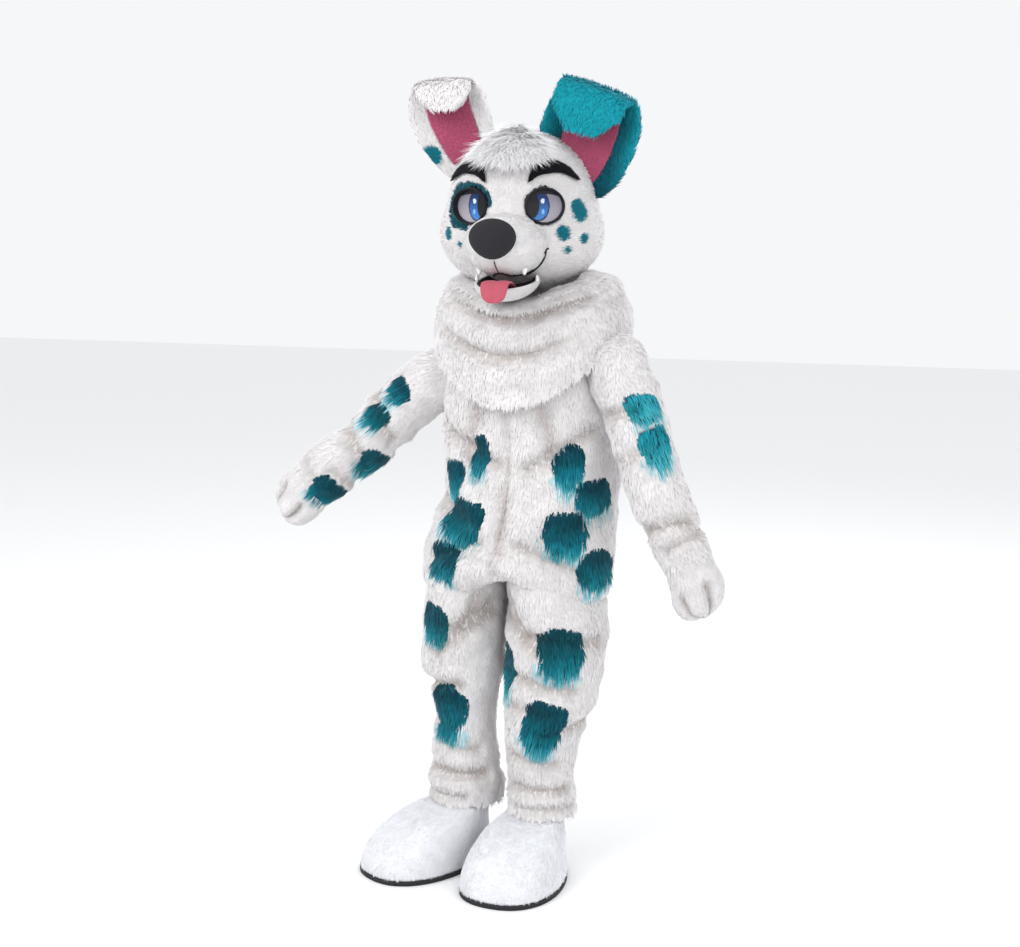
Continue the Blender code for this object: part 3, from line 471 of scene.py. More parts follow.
@dataclass
class Limb:
    """A tube of rings along a middle line whose ring planes all cross one axis.

    Its rows hold the height, x and y of the line, and the half width and depth of a ring.
    """

    rows: Rows
    folds: Rows = field(default_factory=list)
    axis: tuple[float, float, float] = (0.0, 0.0, -1.0)
    ripple: float = 0.0025
    ripple_scales: tuple[float, float] = (0.085, 0.04)
    crease_gain: float = 1.5

    def creases(self, count: int, steps: int) -> Array:
        """The offset of the creases on the same grid as the skin."""
        at = evenly(self.rows, steps + 1)
        angles = round_angles(count)[None, :]
        radius = float(at[:, 3].mean())
        return self.crease_gain * fold_offset(angles, at[:, 0:1], self.folds, radius)

    def frame_vectors(self) -> tuple[Array, Array, Array]:
        """The axis down the limb, the direction across it, and its front."""
        axis = np.array(Vector(self.axis).normalized())
        across = unit(np.array([1.0, 0, 0]) - axis * axis[0])
        return axis, across, np.cross(axis, across)

    def skin(self, count: int, steps: int, lift: float = 0.0) -> Array:
        """Rings: centre + (width + offset) sin(angle) across + (depth + offset) cos(angle) front."""
        at = evenly(self.rows, steps + 1)
        centre = np.column_stack([at[:, 1], at[:, 2], at[:, 0] - FLOOR_DROP])
        _, across, front = self.frame_vectors()
        angles = round_angles(count)[None, :]
        offset = lift + self.creases(count, steps)
        sideways = ((at[:, 3:4] + offset) * np.sin(angles))[:, :, None] * across
        forward = ((at[:, 4:5] + offset) * np.cos(angles))[:, :, None] * front
        rings = centre[:, None, :] + sideways + forward
        return rippled(rings, self.ripple_scales, SEED, self.ripple)

    def depth(self, points: Array) -> Array:
        """How far inside the tube each point lies, and below zero outside or past its ends."""
        axis, across, front = self.frame_vectors()
        table = np.array(self.rows, float)
        centre = np.column_stack([table[:, 1], table[:, 2], table[:, 0] - FLOOR_DROP])
        along, reach = centre @ axis, points @ axis
        middle = np.stack([np.interp(reach, along, centre[:, k]) for k in range(3)], -1)
        half = [np.interp(reach, along, table[:, k]) for k in (3, 4)]
        away = points - middle
        share = np.hypot((away @ across) / half[0], (away @ front) / half[1])
        inside = (1 - share) * (half[0] + half[1]) / 2
        return np.where((reach < along[0]) | (reach > along[-1]), -1.0, inside)


@dataclass
class Trunk(Limb):
    """The suit's body, whose underside arches up between the legs.

    The hem is raised by arch * exp(-((x - arch_x) / arch_half)^2), and the rise fades to
    none at arch_reach above it.
    """

    arch: float = 0.075
    arch_x: float = -0.02
    arch_half: float = 0.11
    arch_reach: float = 0.16
    underside: float = 0.06
    closing: tuple[float, float] = (0.5, 0.02)

    def rise(self, x: Array) -> Array:
        """The arch's height over each place across the body."""
        return self.arch * np.exp(-((x - self.arch_x) / self.arch_half) ** 2)

    def skin(self, count: int, steps: int, lift: float = 0.0) -> Array:
        """The tube's rings with the hem raised, and smaller rings that close the underside."""
        rings = super().skin(count, steps, lift)
        height = rings[:, :, 2] - (self.rows[-1][0] - FLOOR_DROP)
        near_hem = np.clip(1 - height / self.arch_reach, 0, 1)
        under = np.clip(1 - height / self.underside, 0, 1)
        rings[:, :, 2] += self.rise(rings[:, :, 0]) * near_hem - lift * under
        middle = rings[-1].mean(0)
        return np.concatenate([rings] + [rings[-1:] * s + middle * (1 - s) for s in self.closing])

    def depth(self, points: Array) -> Array:
        """The tube's depth, measured after the underside's arch is taken off."""
        low = self.rows[-1][0] - FLOOR_DROP
        raised = self.rise(points[:, 0])
        height = points[:, 2] - low
        level = low + (height - raised) / (1 - raised / self.arch_reach)
        lowered = points.copy()
        lowered[:, 2] = np.where(height < self.arch_reach, level, points[:, 2])
        return super().depth(lowered)


@dataclass
class Foot:
    """A foot cover: a dome from the ankle's collar out to the sole's outline."""

    x: float
    y: float
    turn: float
    middle: float = 0.112
    half_length: float = 0.176
    half_width: float = 0.116
    toe_spread: float = 0.024
    collar: float = 0.060
    height: float = 0.150
    dome: float = 1.9
    power: float = 0.86
    base: float = 0.0123
    flat_top: float = 0.45

    def plan(self, angles: Array, lift: float = 0.0) -> Array:
        """The sole's outline: an oval that is squared a little and wider at the toes."""
        sine, cosine = np.sin(angles), np.cos(angles)
        bent = np.sign(sine) * np.abs(sine) ** self.power
        return np.stack([
            (self.half_width + self.toe_spread * cosine + lift) * bent,
            self.middle + (self.half_length + lift) * cosine,
        ])

    def place(self, flat: Array, height: Array | float) -> Array:
        """Turns plan points to the foot's direction."""
        turn = math.radians(self.turn)
        return np.stack([
            self.x + flat[0] * math.cos(turn) + flat[1] * math.sin(turn),
            self.y + flat[0] * math.sin(turn) - flat[1] * math.cos(turn),
            np.broadcast_to(height - FLOOR_DROP, flat[0].shape),
        ], -1)

    def skin(self, count: int, steps: int, lift: float = 0.0) -> Array:
        """Rings: the collar and outline mixed by share, at (1 - share^p)^(1/p) of the height."""
        angles = round_angles(count)
        ring = np.stack([np.sin(angles), np.cos(angles)]) * (self.collar + lift)
        share = np.sin(np.linspace(0, 1, steps + 1) * math.pi / 2)
        drop = (1 - share ** self.dome) ** (1 / self.dome)
        outline = self.plan(angles, lift)
        return np.array([
            self.place(ring * (1 - s) + outline * s, self.base + (self.height - self.base + lift) * d)
            for s, d in zip(share, drop)
        ])

    def depth(self, points: Array) -> Array:
        """How far below the dome a point lies."""
        turn = math.radians(self.turn)
        x, y = points[:, 0] - self.x, points[:, 1] - self.y
        side = x * math.cos(turn) + y * math.sin(turn)
        ahead = x * math.sin(turn) - y * math.cos(turn) - self.middle
        share = np.hypot(side / self.half_width, ahead / self.half_length)
        inner = np.clip((share - self.flat_top) / (1 - self.flat_top), 0, 1)
        top = self.base + (self.height - self.base) * (1 - inner ** self.dome) ** (1 / self.dome)
        return np.where(share < 1, top - (points[:, 2] + FLOOR_DROP), -1.0)


@dataclass
class Cowl:
    """The draped collar: rings from the neck out over the shoulders, with swags.

    The profile's rows hold the share of the way down the cloth, of the reach outwards and
    of the drop. A swag's row holds its middle angle, spread, level, width and depth.
    """

    profile: Rows = field(default_factory=lambda: [
        (0.00, 0.00, 0.000),
        (0.14, 0.30, 0.015),
        (0.32, 0.64, 0.080),
        (0.52, 0.88, 0.260),
        (0.76, 0.98, 0.600),
        (1.00, 1.00, 1.000),
    ])
    swags: Rows = field(default_factory=lambda: [
        (10, 55, 0.44, 0.045, 0.021),
        (-8, 48, 0.71, 0.040, 0.018),
        (4, 60, 0.58, 0.055, -0.007),
        (24, 40, 0.86, 0.050, -0.006),
        (46, 26, 0.30, 0.035, 0.010),
        (-44, 24, 0.33, 0.040, 0.009),
        (75, 30, 0.58, 0.060, 0.008),
        (-78, 28, 0.55, 0.060, 0.008),
        (180, 60, 0.55, 0.060, 0.013),
    ])
    top: float = 1.462
    top_dip: float = 0.040
    chin_dip: float = 0.018
    neck: tuple[float, float] = (0.134, 0.112)
    hem: tuple[float, float] = (0.246, 0.205)
    hem_height: float = 1.305
    front_drop: float = 0.145
    back_drop: float = 0.100
    back_curve: float = 1.6
    top_lift: float = 0.5
    cover: float = 0.97
    tuck: float = 0.45
    tuck_height: float = 1.36
    tuck_reach: float = 0.10
    open_edge: float = 0.012

    def creases(self, count: int, steps: int) -> Array:
        """The offset of the swags: -depth * exp(-(angle / spread)^4) * exp(-(share / width)^2)."""
        degrees = np.degrees(round_angles(count))[None, :]
        shares = np.linspace(0, 1, steps + 1)[:, None]
        offset = np.zeros((steps + 1, count))
        for middle, spread, level, width, depth in self.swags:
            apart = (degrees - middle + 180) % 360 - 180
            beside = np.exp(-(apart / spread) ** 4)
            offset -= depth * beside * np.exp(-((shares - level) / width) ** 2)
        return offset

    def hem_line(self, angles: Array) -> Array:
        """Height of the lower edge: lowest at the front, then at the back."""
        front, back = np.clip(np.cos(angles), 0, 1), np.clip(-np.cos(angles), 0, 1)
        return self.hem_height - self.front_drop * front ** 2 - self.back_drop * back ** self.back_curve

    def skin(self, count: int, steps: int, lift: float = 0.0) -> Array:
        """Rings: half size = neck + (hem - neck) * reach + offset, height = top to hem by drop."""
        angles = round_angles(count)
        hem = self.hem_line(angles)
        ahead = np.clip(np.cos(angles), 0, 1)
        top = self.top - self.top_dip * ahead - self.chin_dip * ahead ** 8
        shares = np.linspace(0, 1, steps + 1)
        reach, drop = read_curve(self.profile, shares).T
        offset = lift + self.creases(count, steps)
        half = [
            neck + (edge - neck) * reach[:, None] + offset for neck, edge in zip(self.neck, self.hem)
        ]
        height = top + (hem - top) * drop[:, None] + lift * self.top_lift - FLOOR_DROP
        return np.stack([half[0] * np.sin(angles), -half[1] * np.cos(angles), height], 2)

    def depth(self, points: Array) -> Array:
        """How far under the drape a point lies, at the drape's own height."""
        angles = np.arctan2(points[:, 0] / self.hem[0], -points[:, 1] / self.hem[1])
        above = points[:, 2] + FLOOR_DROP - self.hem_line(angles)
        share = np.hypot(points[:, 0] / self.hem[0], points[:, 1] / self.hem[1])
        high = np.clip((points[:, 2] + FLOOR_DROP - self.tuck_height) / self.tuck_reach, 0, 1)
        limit = self.cover - self.tuck * high
        return np.where(above > self.open_edge, (limit - share) * self.hem[1], -1.0)


@dataclass
class HeadForm:
    """The head's skin: egg forms seen from one hub, blended where they meet.

    The forms are the skull, the cheeks and the muzzle, each with its centre and half sizes.
    """

    at: tuple[float, float] = (-0.027, 0.0)
    turn: float = math.radians(8.0)
    hub: tuple[float, float, float] = (0.0, 0.02, 1.575)
    dip: float = math.radians(16.0)
    blend: float = 0.012
    ends: tuple[float, float] = (0.02, 0.985)
    crowding: float = 1.15
    forms: list = field(default_factory=lambda: [
        ((0.0, 0.000, 1.614), (0.180, 0.182, 0.184)),
        ((0.0, 0.010, 1.550), (0.201, 0.165, 0.140)),
        ((0.0, 0.180, 1.524), (0.096, 0.125, 0.071)),
    ])

    def place(self, local: Array) -> Array:
        """Moves points given as side, forward and height to the turned head."""
        local = np.asarray(local, float)
        sine, cosine = math.sin(self.turn), math.cos(self.turn)
        side, forward = local[..., 0], local[..., 1]
        return np.stack([
            self.at[0] + side * cosine + forward * sine,
            self.at[1] + side * sine - forward * cosine,
            local[..., 2] - FLOOR_DROP,
        ], -1)

    def local(self, points: Array) -> Array:
        """The reverse of place."""
        sine, cosine = math.sin(self.turn), math.cos(self.turn)
        x, y = points[..., 0] - self.at[0], points[..., 1] - self.at[1]
        return np.stack([x * cosine + y * sine, x * sine - y * cosine, points[..., 2] + FLOOR_DROP], -1)

    def turned(self, local: Array) -> Array:
        """Directions turned with the head."""
        return self.place(local) - self.place(np.zeros(3))

    def reach(self, direction: Array) -> Array:
        """Distance from hub to skin: blend * log(sum of exp(far hit of each egg / blend))."""
        total = np.zeros(direction.shape[:-1])
        for centre, half in self.forms:
            start = (np.array(self.hub) - centre) / half
            ray = direction / np.array(half)
            a, b = (ray * ray).sum(-1), (ray * start).sum(-1)
            inside = b * b - a * (start.dot(start) - 1)
            hit = np.where(inside > 0, (-b + np.sqrt(np.clip(inside, 0, None))) / a, 0)
            total = total + np.exp(np.clip(hit, 0, None) / self.blend)
        return self.blend * np.log(total)

    def surface(self, direction: Array, lift: Array | float = 0.0) -> Array:
        """Points on the skin along directions from the hub, in the head's own frame."""
        direction = unit(direction)
        return np.array(self.hub) + direction * (self.reach(direction) + lift)[..., None]

    def directions(self, count: int, steps: int) -> Array:
        """Rings of directions round the muzzle's line, from the nose to the back."""
        away = math.pi * np.linspace(*self.ends, steps + 1)[:, None] ** self.crowding
        around = -round_angles(count)[None, :]
        side, forward = np.sin(away) * np.sin(around), np.cos(away) * np.ones_like(around)
        up = np.sin(away) * np.cos(around)
        sine, cosine = math.sin(self.dip), math.cos(self.dip)
        return np.stack([side, forward * cosine + up * sine, up * cosine - forward * sine], -1)

    def depth(self, points: Array) -> Array:
        """How far inside the head each point lies."""
        away = self.local(points) - np.array(self.hub)
        return self.reach(unit(away)) - np.linalg.norm(away, axis=-1)


# side, forward and height of the middle line, half width, cup
EAR_ROWS: dict[Side, Rows] = {
    Side.RIGHT: [
        (-0.118, -0.005, 1.705, 0.066, 0.010),
        (-0.148, -0.003, 1.768, 0.090, 0.020),
        (-0.172, 0.000, 1.826, 0.099, 0.024),
        (-0.184, 0.004, 1.876, 0.093, 0.016),
        (-0.186, 0.022, 1.902, 0.074, 0.008),
        (-0.182, 0.044, 1.897, 0.071, 0.006),
        (-0.178, 0.058, 1.868, 0.066, 0.004),
        (-0.176, 0.062, 1.836, 0.036, 0.002),
    ],
    Side.LEFT: [
        (0.106, -0.005, 1.655, 0.074, 0.010),
        (0.136, -0.003, 1.712, 0.108, 0.022),
        (0.162, 0.000, 1.772, 0.117, 0.030),
        (0.182, 0.004, 1.838, 0.110, 0.024),
        (0.190, 0.024, 1.876, 0.092, 0.012),
        (0.182, 0.052, 1.876, 0.088, 0.008),
        (0.166, 0.070, 1.832, 0.084, 0.006),
        (0.152, 0.076, 1.782, 0.044, 0.002),
    ],
}
EAR_LEANS = {Side.RIGHT: math.radians(4.0), Side.LEFT: math.radians(20.0)}


@dataclass
class EarForm:
    """A cupped leaf along a bent middle line that folds forwards near its tip."""

    head: HeadForm
    side: Side
    half: float = 0.009
    squareness: float = 0.6

    def skin(self, count: int, steps: int, lift: float = 0.0, share: float = 1.0,
             near: float = -1.0, far: float = 1.0, span: tuple[float, float] = (0.0, 1.0)) -> Array:
        """Flat rings: line + width sin(a) out + (thickness blend(cos a) + cup sin^2 a) facing.

        Args:
            count: points round a ring.
            steps: steps along the middle line.
            lift: how far the skin stands out.
            share: the share of the ear's width that the skin takes up.
            near: where its back lies, from -1 at the ear's back to 1 at its front.
            far: where its front lies, in the same way.
            span: the shares of the middle line at which it starts and ends.

        Returns:
            The rings, placed on the head.
        """
        at = evenly(EAR_ROWS[self.side], steps + 1, span)
        line, width, cup = at[:, :3], at[:, 3:4] * share + lift, at[:, 4:5]
        slope = unit(np.gradient(line, axis=0))
        lean = EAR_LEANS[self.side]
        level = np.array([math.cos(lean), 0.0, -self.side.value * math.sin(lean)])
        out = unit(level - slope * (slope @ level)[:, None])
        facing = np.cross(slope, out)
        facing = facing * np.sign(facing[0, 1])
        angles = round_angles(count)[None, :]
        wide, face = np.sin(angles), np.cos(angles)
        blend = np.sign(face) * np.abs(face) ** self.squareness
        thick = (self.half + lift) * ((far + near) / 2 + (far - near) / 2 * blend)
        bend = cup * (wide * share) ** 2
        rings = (line[:, None, :] + (width * wide)[:, :, None] * out[:, None, :]
                 + (thick + bend)[:, :, None] * facing[:, None, :])
        return facing_out(self.head.place(rings))


# Fur


@dataclass(frozen=True)
class Spot:
    """A dyed spot: its middle, its half sizes across and along the nap, and its brightness."""

    x: float
    y: float
    height: float
    across: float
    along: float
    bright: float = 0.0
    small: bool = False

    @property
    def middle(self) -> Array:
        """The spot's middle in the shared frame."""
        return np.array([self.x, self.y, self.height - FLOOR_DROP])

    def share(self, points: Array, nap: Array) -> tuple[Array, Array]:
        """Where points lie in the spot.

        The outline is a squared oval that narrows downwards:
        share^2.3 = |down|^2.3 + |side / (1 - 0.26 down)|^2.3, unevenly scaled by noise.

        Args:
            points: places on the skin.
            nap: the direction in which the pile runs at each of them.

        Returns:
            The share of the way to the edge, and the place down the nap, from -1 to 1
            inside the spot.
        """
        narrowing, squareness = 0.26, 2.3
        away = points - self.middle
        reach = (away * nap).sum(-1)
        side = np.sqrt(np.clip((away * away).sum(-1) - reach ** 2, 0, None)) / self.across
        down = reach / self.along
        narrow = 1 if self.small else 1 - narrowing * np.clip(down, -1, 1)
        uneven = 1 + (0.02 if self.small else 0.07) * soft_noise(points, 0.06, SEED + 11)
        oval = (np.abs(down) ** squareness + (side / narrow) ** squareness) ** (1 / squareness)
        return oval / uneven, down


@dataclass(frozen=True)
class Coat:
    """How the pile grows: its length, width, lie, unevenness and colours."""

    length: float = 0.014
    width: float = 0.0046
    lie: float = 15.0
    spread: float = 7.0
    clump: float = 8.0
    clump_scale: float = 0.034
    uneven: float = 0.22
    root: tuple[float, float, float] = WHITE_ROOT
    tip: tuple[float, float, float] = WHITE_TIP
    spot_length: float = 0.030
    soft: float = 0.93
    seed: int = 1


# How dyed locks differ from the rest, and how much locks vary
DYED_TURN = 0.55
DYED_LIE = 0.7
LIE_VARIETY = 4.0
FLATTEST, STEEPEST = 5.0, 80.0
TIP_VARIETY = 0.05
# A lock's base: how far its third corner lies back and out, in widths
BASE_BACK, BASE_OUT = 0.4, 0.35
# The lean of a lock's under face towards the nap, for its shading
UNDER_LEAN = 0.6
# How deep a crease is that shades the pile fully, and a spot's share that dyes the backing
FULL_CREASE = 0.016
BACKING_SHARE = 0.95


@dataclass
class Roots:
    """Places where locks stand, with normals, nap, length multipliers and crease shade."""

    place: Array
    out: Array
    nap: Array
    scale: Array
    shade: Array

    def keep(self, mask: Array) -> "Roots":
        """The roots for which the mask holds."""
        parts = (self.place, self.out, self.nap, self.scale, self.shade)
        return Roots(*(part[mask] for part in parts))


def cell_corners(grid: Array, closed: bool) -> list[Array]:
    """What a grid holds at the four corners of each of its cells."""
    before = grid if closed else grid[:, :-1]
    after = np.roll(grid, -1, 1) if closed else grid[:, 1:]
    return [before[:-1], after[:-1], before[1:], after[1:]]


def between(corners: list[Array], s: Array, t: Array) -> Array:
    """What lies the share s across and t down between four corners."""
    a, b, c, d = corners
    return (a * (1 - s) + b * s) * (1 - t) + (c * (1 - s) + d * s) * t


def scatter(rings: Array, count: int, seed: int, closed: bool = True,
            creases: Array | None = None) -> Roots:
    """Spreads roots evenly over a grid: cells are drawn by area, then a place in each.

    The nap runs down the grid's columns.

    Args:
        rings: the grid, whose normals point outwards.
        count: how many roots.
        seed: which draw.
        closed: whether the columns run right round.
        creases: offsets of the skin on the same grid, which darken the pile with painted shade where it
            dips.

    Returns:
        The roots.
    """
    dice = np.random.default_rng(seed)
    corner = cell_corners(rings, closed)
    size = np.linalg.norm(np.cross(corner[1] - corner[0], corner[2] - corner[0]), axis=-1)
    size = size + np.linalg.norm(np.cross(corner[1] - corner[3], corner[2] - corner[3]), axis=-1)
    chosen = dice.choice(size.size, count, p=(size / size.sum()).ravel())
    s, t = dice.random((count, 1)), dice.random((count, 1))

    def picked(grid: Array) -> list[Array]:
        """The chosen cells' corners, as rows."""
        return [part.reshape(size.size, -1)[chosen] for part in cell_corners(grid, closed)]

    a, b, c, d = picked(rings)
    out = unit(between(picked(grid_normals(rings, closed)), s, t))
    down = (c - a) * (1 - s) + (d - b) * s
    nap = unit(down - out * (down * out).sum(-1, keepdims=True))
    shade = np.zeros(count)
    if creases is not None:
        dip = np.zeros(rings.shape[:2])
        dip[:len(creases)] = np.clip(-creases / FULL_CREASE, 0, 1)
        shade = between(picked(dip), s, t)[:, 0]
    return Roots(between([a, b, c, d], s, t), out, nap, np.ones(count), shade)


def mixed(first: tuple | Array, second: tuple | Array, share: Array) -> Array:
    """Colours part of the way from the first to the second, for each share."""
    share = np.clip(share, 0, 1)[:, None]
    return np.asarray(first) * (1 - share) + np.asarray(second) * share


@dataclass
class Tints:
    """Colours at each lock's root and tip, its length factor, and whether it is dyed."""

    root: Array
    tip: Array
    longer: Array
    dyed: Array

    def dye_small(self, spot: Spot, roots: Roots, coat: Coat) -> None:
        """Dyes each lock's root and tip by their own places, so that the edge stays sharp."""
        at_root, _ = spot.share(roots.place, roots.nap)
        ends = roots.place + roots.nap * (coat.length * roots.scale * 0.95)[:, None]
        at_tip, _ = spot.share(ends, roots.nap)
        bright = mixed(TEAL_TIP, BRIGHT_TEAL_TIP, 0.1 + 0.3 * at_tip)
        self.root = np.where((at_root < 1)[:, None], np.array(TEAL_TIP), self.root)
        self.tip = np.where((at_tip < 1)[:, None], bright, self.tip)

    def dye_large(self, spot: Spot, roots: Roots, coat: Coat, dice: np.random.Generator) -> None:
        """Dyes a spot that is dark along its top and brighter downwards, in streaks.

        Locks just above it are cut short, so that its top stays sharp, and some below its
        lower edge are tinted, so that it ends in a ragged fringe.
        """
        count = len(roots.place)
        fringe_reach, fringe_from, fringe_density = 1.34, 0.42, 0.62
        streak_pitch, trimmed, glow = 900, 0.35, 0.62 * spot.bright
        share, down = spot.share(roots.place, roots.nap)
        ahead, _ = spot.share(roots.place + roots.nap * coat.length, roots.nap)
        side = ((roots.place - spot.middle) * np.cross(roots.out, roots.nap)).sum(-1)
        streak = np.sin(side * streak_pitch + 3 * soft_noise(roots.place, 0.05, 17)) * 0.5
        streak = streak + dice.uniform(-0.6, 0.6, count)
        fringe = (share > 1) & (share < fringe_reach) & (down > fringe_from)
        fringe &= dice.random(count) < fringe_density
        inside = (share < 1) | fringe
        above = ~inside & (ahead < 1) & (down < 0.1)
        long_share = coat.spot_length / coat.length * (0.72 + 0.28 * np.clip(down + 0.4, 0, 1))
        level = np.clip((down + 0.85) / 1.7, 0, 1) ** 1.2 * (1 - glow) + glow
        level = np.clip(level + 0.20 * streak, 0, 1)
        deep = mixed(TEAL_ROOT, TEAL_TIP, 0.1 + 1.2 * level)
        deep = mixed(deep, BRIGHT_TEAL_TIP, np.full(count, 0.5 * spot.bright))
        pale = mixed(TEAL_ROOT, TEAL_TIP, 0.3 + 2 * level)
        pale = mixed(pale, BRIGHT_TEAL_TIP, 1.3 * level - 0.35)
        pale = mixed(pale, CYAN_TIP, 1.9 * level - 1.25 + 0.25 * spot.bright)
        pale_fringe = mixed(CYAN_TIP, WHITE_TIP, dice.uniform(0.1, 0.8, count))
        deep_fringe = mixed(BRIGHT_TEAL_TIP, WHITE_TIP, dice.uniform(0.2, 0.8, count))
        pale = np.where(fringe[:, None], pale_fringe, pale)
        deep = np.where(fringe[:, None], deep_fringe, deep)
        self.root = np.where(inside[:, None], deep, self.root)
        self.tip = np.where(inside[:, None], pale, self.tip)
        self.longer = np.where(inside, long_share, np.where(above, trimmed, self.longer))
        self.dyed |= inside


def spot_tints(roots: Roots, coat: Coat, spots: list[Spot]) -> Tints:
    """Colours and lengths of locks in and round spots, on an unevenly shaded coat."""
    count = len(roots.place)
    shade = 1 + 0.035 * soft_noise(roots.place, 0.05, coat.seed + 3)[:, None]
    tints = Tints(np.array(coat.root) * shade, np.array(coat.tip) * shade,
                  np.ones(count), np.zeros(count, bool))
    dice = np.random.default_rng(coat.seed + 9)
    for spot in spots:
        if spot.small:
            tints.dye_small(spot, roots, coat)
        else:
            tints.dye_large(spot, roots, coat, dice)
    return tints


def lock_normals(locks: Array, out: Array, nap: Array, soft: float) -> Array:
    """Normals for each corner of each lock's four faces.

    The two upper faces shade mostly with the skin's normal, as soft pile does. The under
    face leans towards the nap, and the base keeps its own normal.
    """
    own = unit(locks - locks.mean(1, keepdims=True))
    blend = unit(out[:, None, :] * soft + own * (1 - soft))
    first, second, third, tip = locks.transpose(1, 0, 2)
    under = unit(unit(np.cross(second - first, tip - first)) + UNDER_LEAN * nap)
    base = unit(np.cross(third - first, second - first))
    under, base = (np.repeat(part[:, None], 3, 1) for part in (under, base))
    return np.concatenate([under, blend[:, [1, 2, 3]], blend[:, [2, 0, 3]], base])


def grow(name: str, roots: Roots, coat: Coat, spots: list[Spot] | None = None,
         slot: str = "white_fur", bright: Array | None = None) -> bpy.types.Object:
    """Grows one closed four-sided lock on each root.

    A lock runs from its root to root + length * (cos(lie) nap + sin(lie) out), where the
    nap turns by random and clumped angles. Its base is a small triangle, so it is closed.

    Args:
        name: the piece's name.
        roots: where locks stand.
        coat: how the pile grows.
        spots: dyed spots, if any.
        slot: the record's material slot; not used.
        bright: for each root, how far its colour goes to the bright teal, if given.

    Returns:
        The piece, with four triangles for each lock.
    """
    dice = np.random.default_rng(coat.seed)
    count = len(roots.place)
    tints = spot_tints(roots, coat, spots or [])
    if bright is not None:
        tints.root = mixed(tints.root, BRIGHT_TEAL_TIP, bright * 0.45)
        tints.tip = mixed(tints.tip, BRIGHT_TEAL_TIP, bright)
    # Painted shade: locks in a crease get darker roots and tips
    crease = 1 - roots.shade[:, None] * np.array(CREASE_SHADE)
    tip_tint = tints.tip * (1 + TIP_VARIETY * dice.uniform(-1, 1, (count, 1))) * crease
    root_tint = tints.root * crease
    noise = soft_noise(roots.place, coat.clump_scale, coat.seed + 1)
    turn = np.radians(coat.clump * noise + coat.spread * dice.normal(size=count))
    turn = np.where(tints.dyed, turn * DYED_TURN, turn)[:, None]
    nap = roots.nap * np.cos(turn) + np.cross(roots.out, roots.nap) * np.sin(turn)
    rise = soft_noise(roots.place, coat.clump_scale * 0.8, coat.seed + 2)
    lie = coat.lie + LIE_VARIETY * rise + LIE_VARIETY * dice.normal(size=count)
    lie = np.clip(lie, FLATTEST, STEEPEST)
    lie = np.radians(np.where(tints.dyed, lie * DYED_LIE, lie))[:, None]
    uneven = 1 + coat.uneven * dice.uniform(-1, 1, count)
    length = coat.length * roots.scale * tints.longer * uneven
    line = nap * np.cos(lie) + roots.out * np.sin(lie)
    wide = np.cross(roots.out, nap) * (coat.width / 2) * np.sqrt(roots.scale)[:, None]
    third = roots.place - nap * coat.width * BASE_BACK + roots.out * coat.width * BASE_OUT
    tip = roots.place + line * length[:, None]
    locks = np.stack([roots.place - wide, roots.place + wide, third, tip], 1)
    first = np.arange(count)[:, None] * 4
    faces = np.concatenate([first + face for face in ([0, 1, 3], [1, 2, 3], [2, 0, 3], [0, 2, 1])])
    colours = np.stack([root_tint, root_tint, root_tint, tip_tint], 1).reshape(-1, 3)
    piece = make_mesh(name, locks.reshape(-1, 3), faces, PILE, colours)
    normals = lock_normals(locks, roots.out, nap, coat.soft)
    piece.data.normals_split_custom_set(normals.reshape(-1, 3))
    return finish_piece(piece, slot)


def uncovered(roots: Roots, others: list[Cover], margin: float = 0.004) -> Roots:
    """Leaves out roots that lie deeper than a margin inside other forms."""
    free = np.ones(len(roots.place), bool)
    for other in others:
        free &= other.depth(roots.place) < margin
    return roots.keep(free)


def skin_tint(rings: Array, spots: list[Spot]) -> Array:
    """Colours of a backing: white, or dark teal under each spot."""
    points = rings.reshape(-1, 3)
    nap = unit(np.gradient(rings, axis=0)).reshape(-1, 3)
    tint = np.array(WHITE_ROOT) * np.ones((len(points), 1))
    for spot in spots:
        share, _ = spot.share(points, nap)
        tint = np.where((share < BACKING_SHARE)[:, None], np.array(TEAL_TIP) * 0.6, tint)
    return tint


def cloth_shell(name: str, rings: Array, hidden: list[Cover], spots: list[Spot], slot: str,
                nodes: list[str]) -> bpy.types.Object:
    """A thin cloth shell on a skin, without the cells that lie deep inside other forms.

    Args:
        name: the piece's name.
        rings: the skin.
        hidden: the forms that cover parts of it.
        spots: dyed spots.
        slot: the record's material slot; not used.
        nodes: the solids that the shell stands for.

    Returns:
        The piece.
    """
    hide_depth = 0.012
    rows, count, _ = rings.shape
    quads = grid_quads(rows, count)
    points = rings.reshape(-1, 3)
    deep = np.zeros(len(points), bool)
    for form in hidden:
        deep |= form.depth(points) > hide_depth
    quads = quads[~deep[quads].all(1)]
    used = np.zeros(len(points), bool)
    used[quads] = True
    order = np.cumsum(used) - 1
    return add_piece(name, (points[used], order[quads]), BACKING, skin_tint(rings, spots)[used],
                     slot, *nodes, depth=CLOTH)


# The suit: rows hold the height, x and y of the middle line, half width and half depth;
# folds hold the angle and height of their start and of their end, width and depth

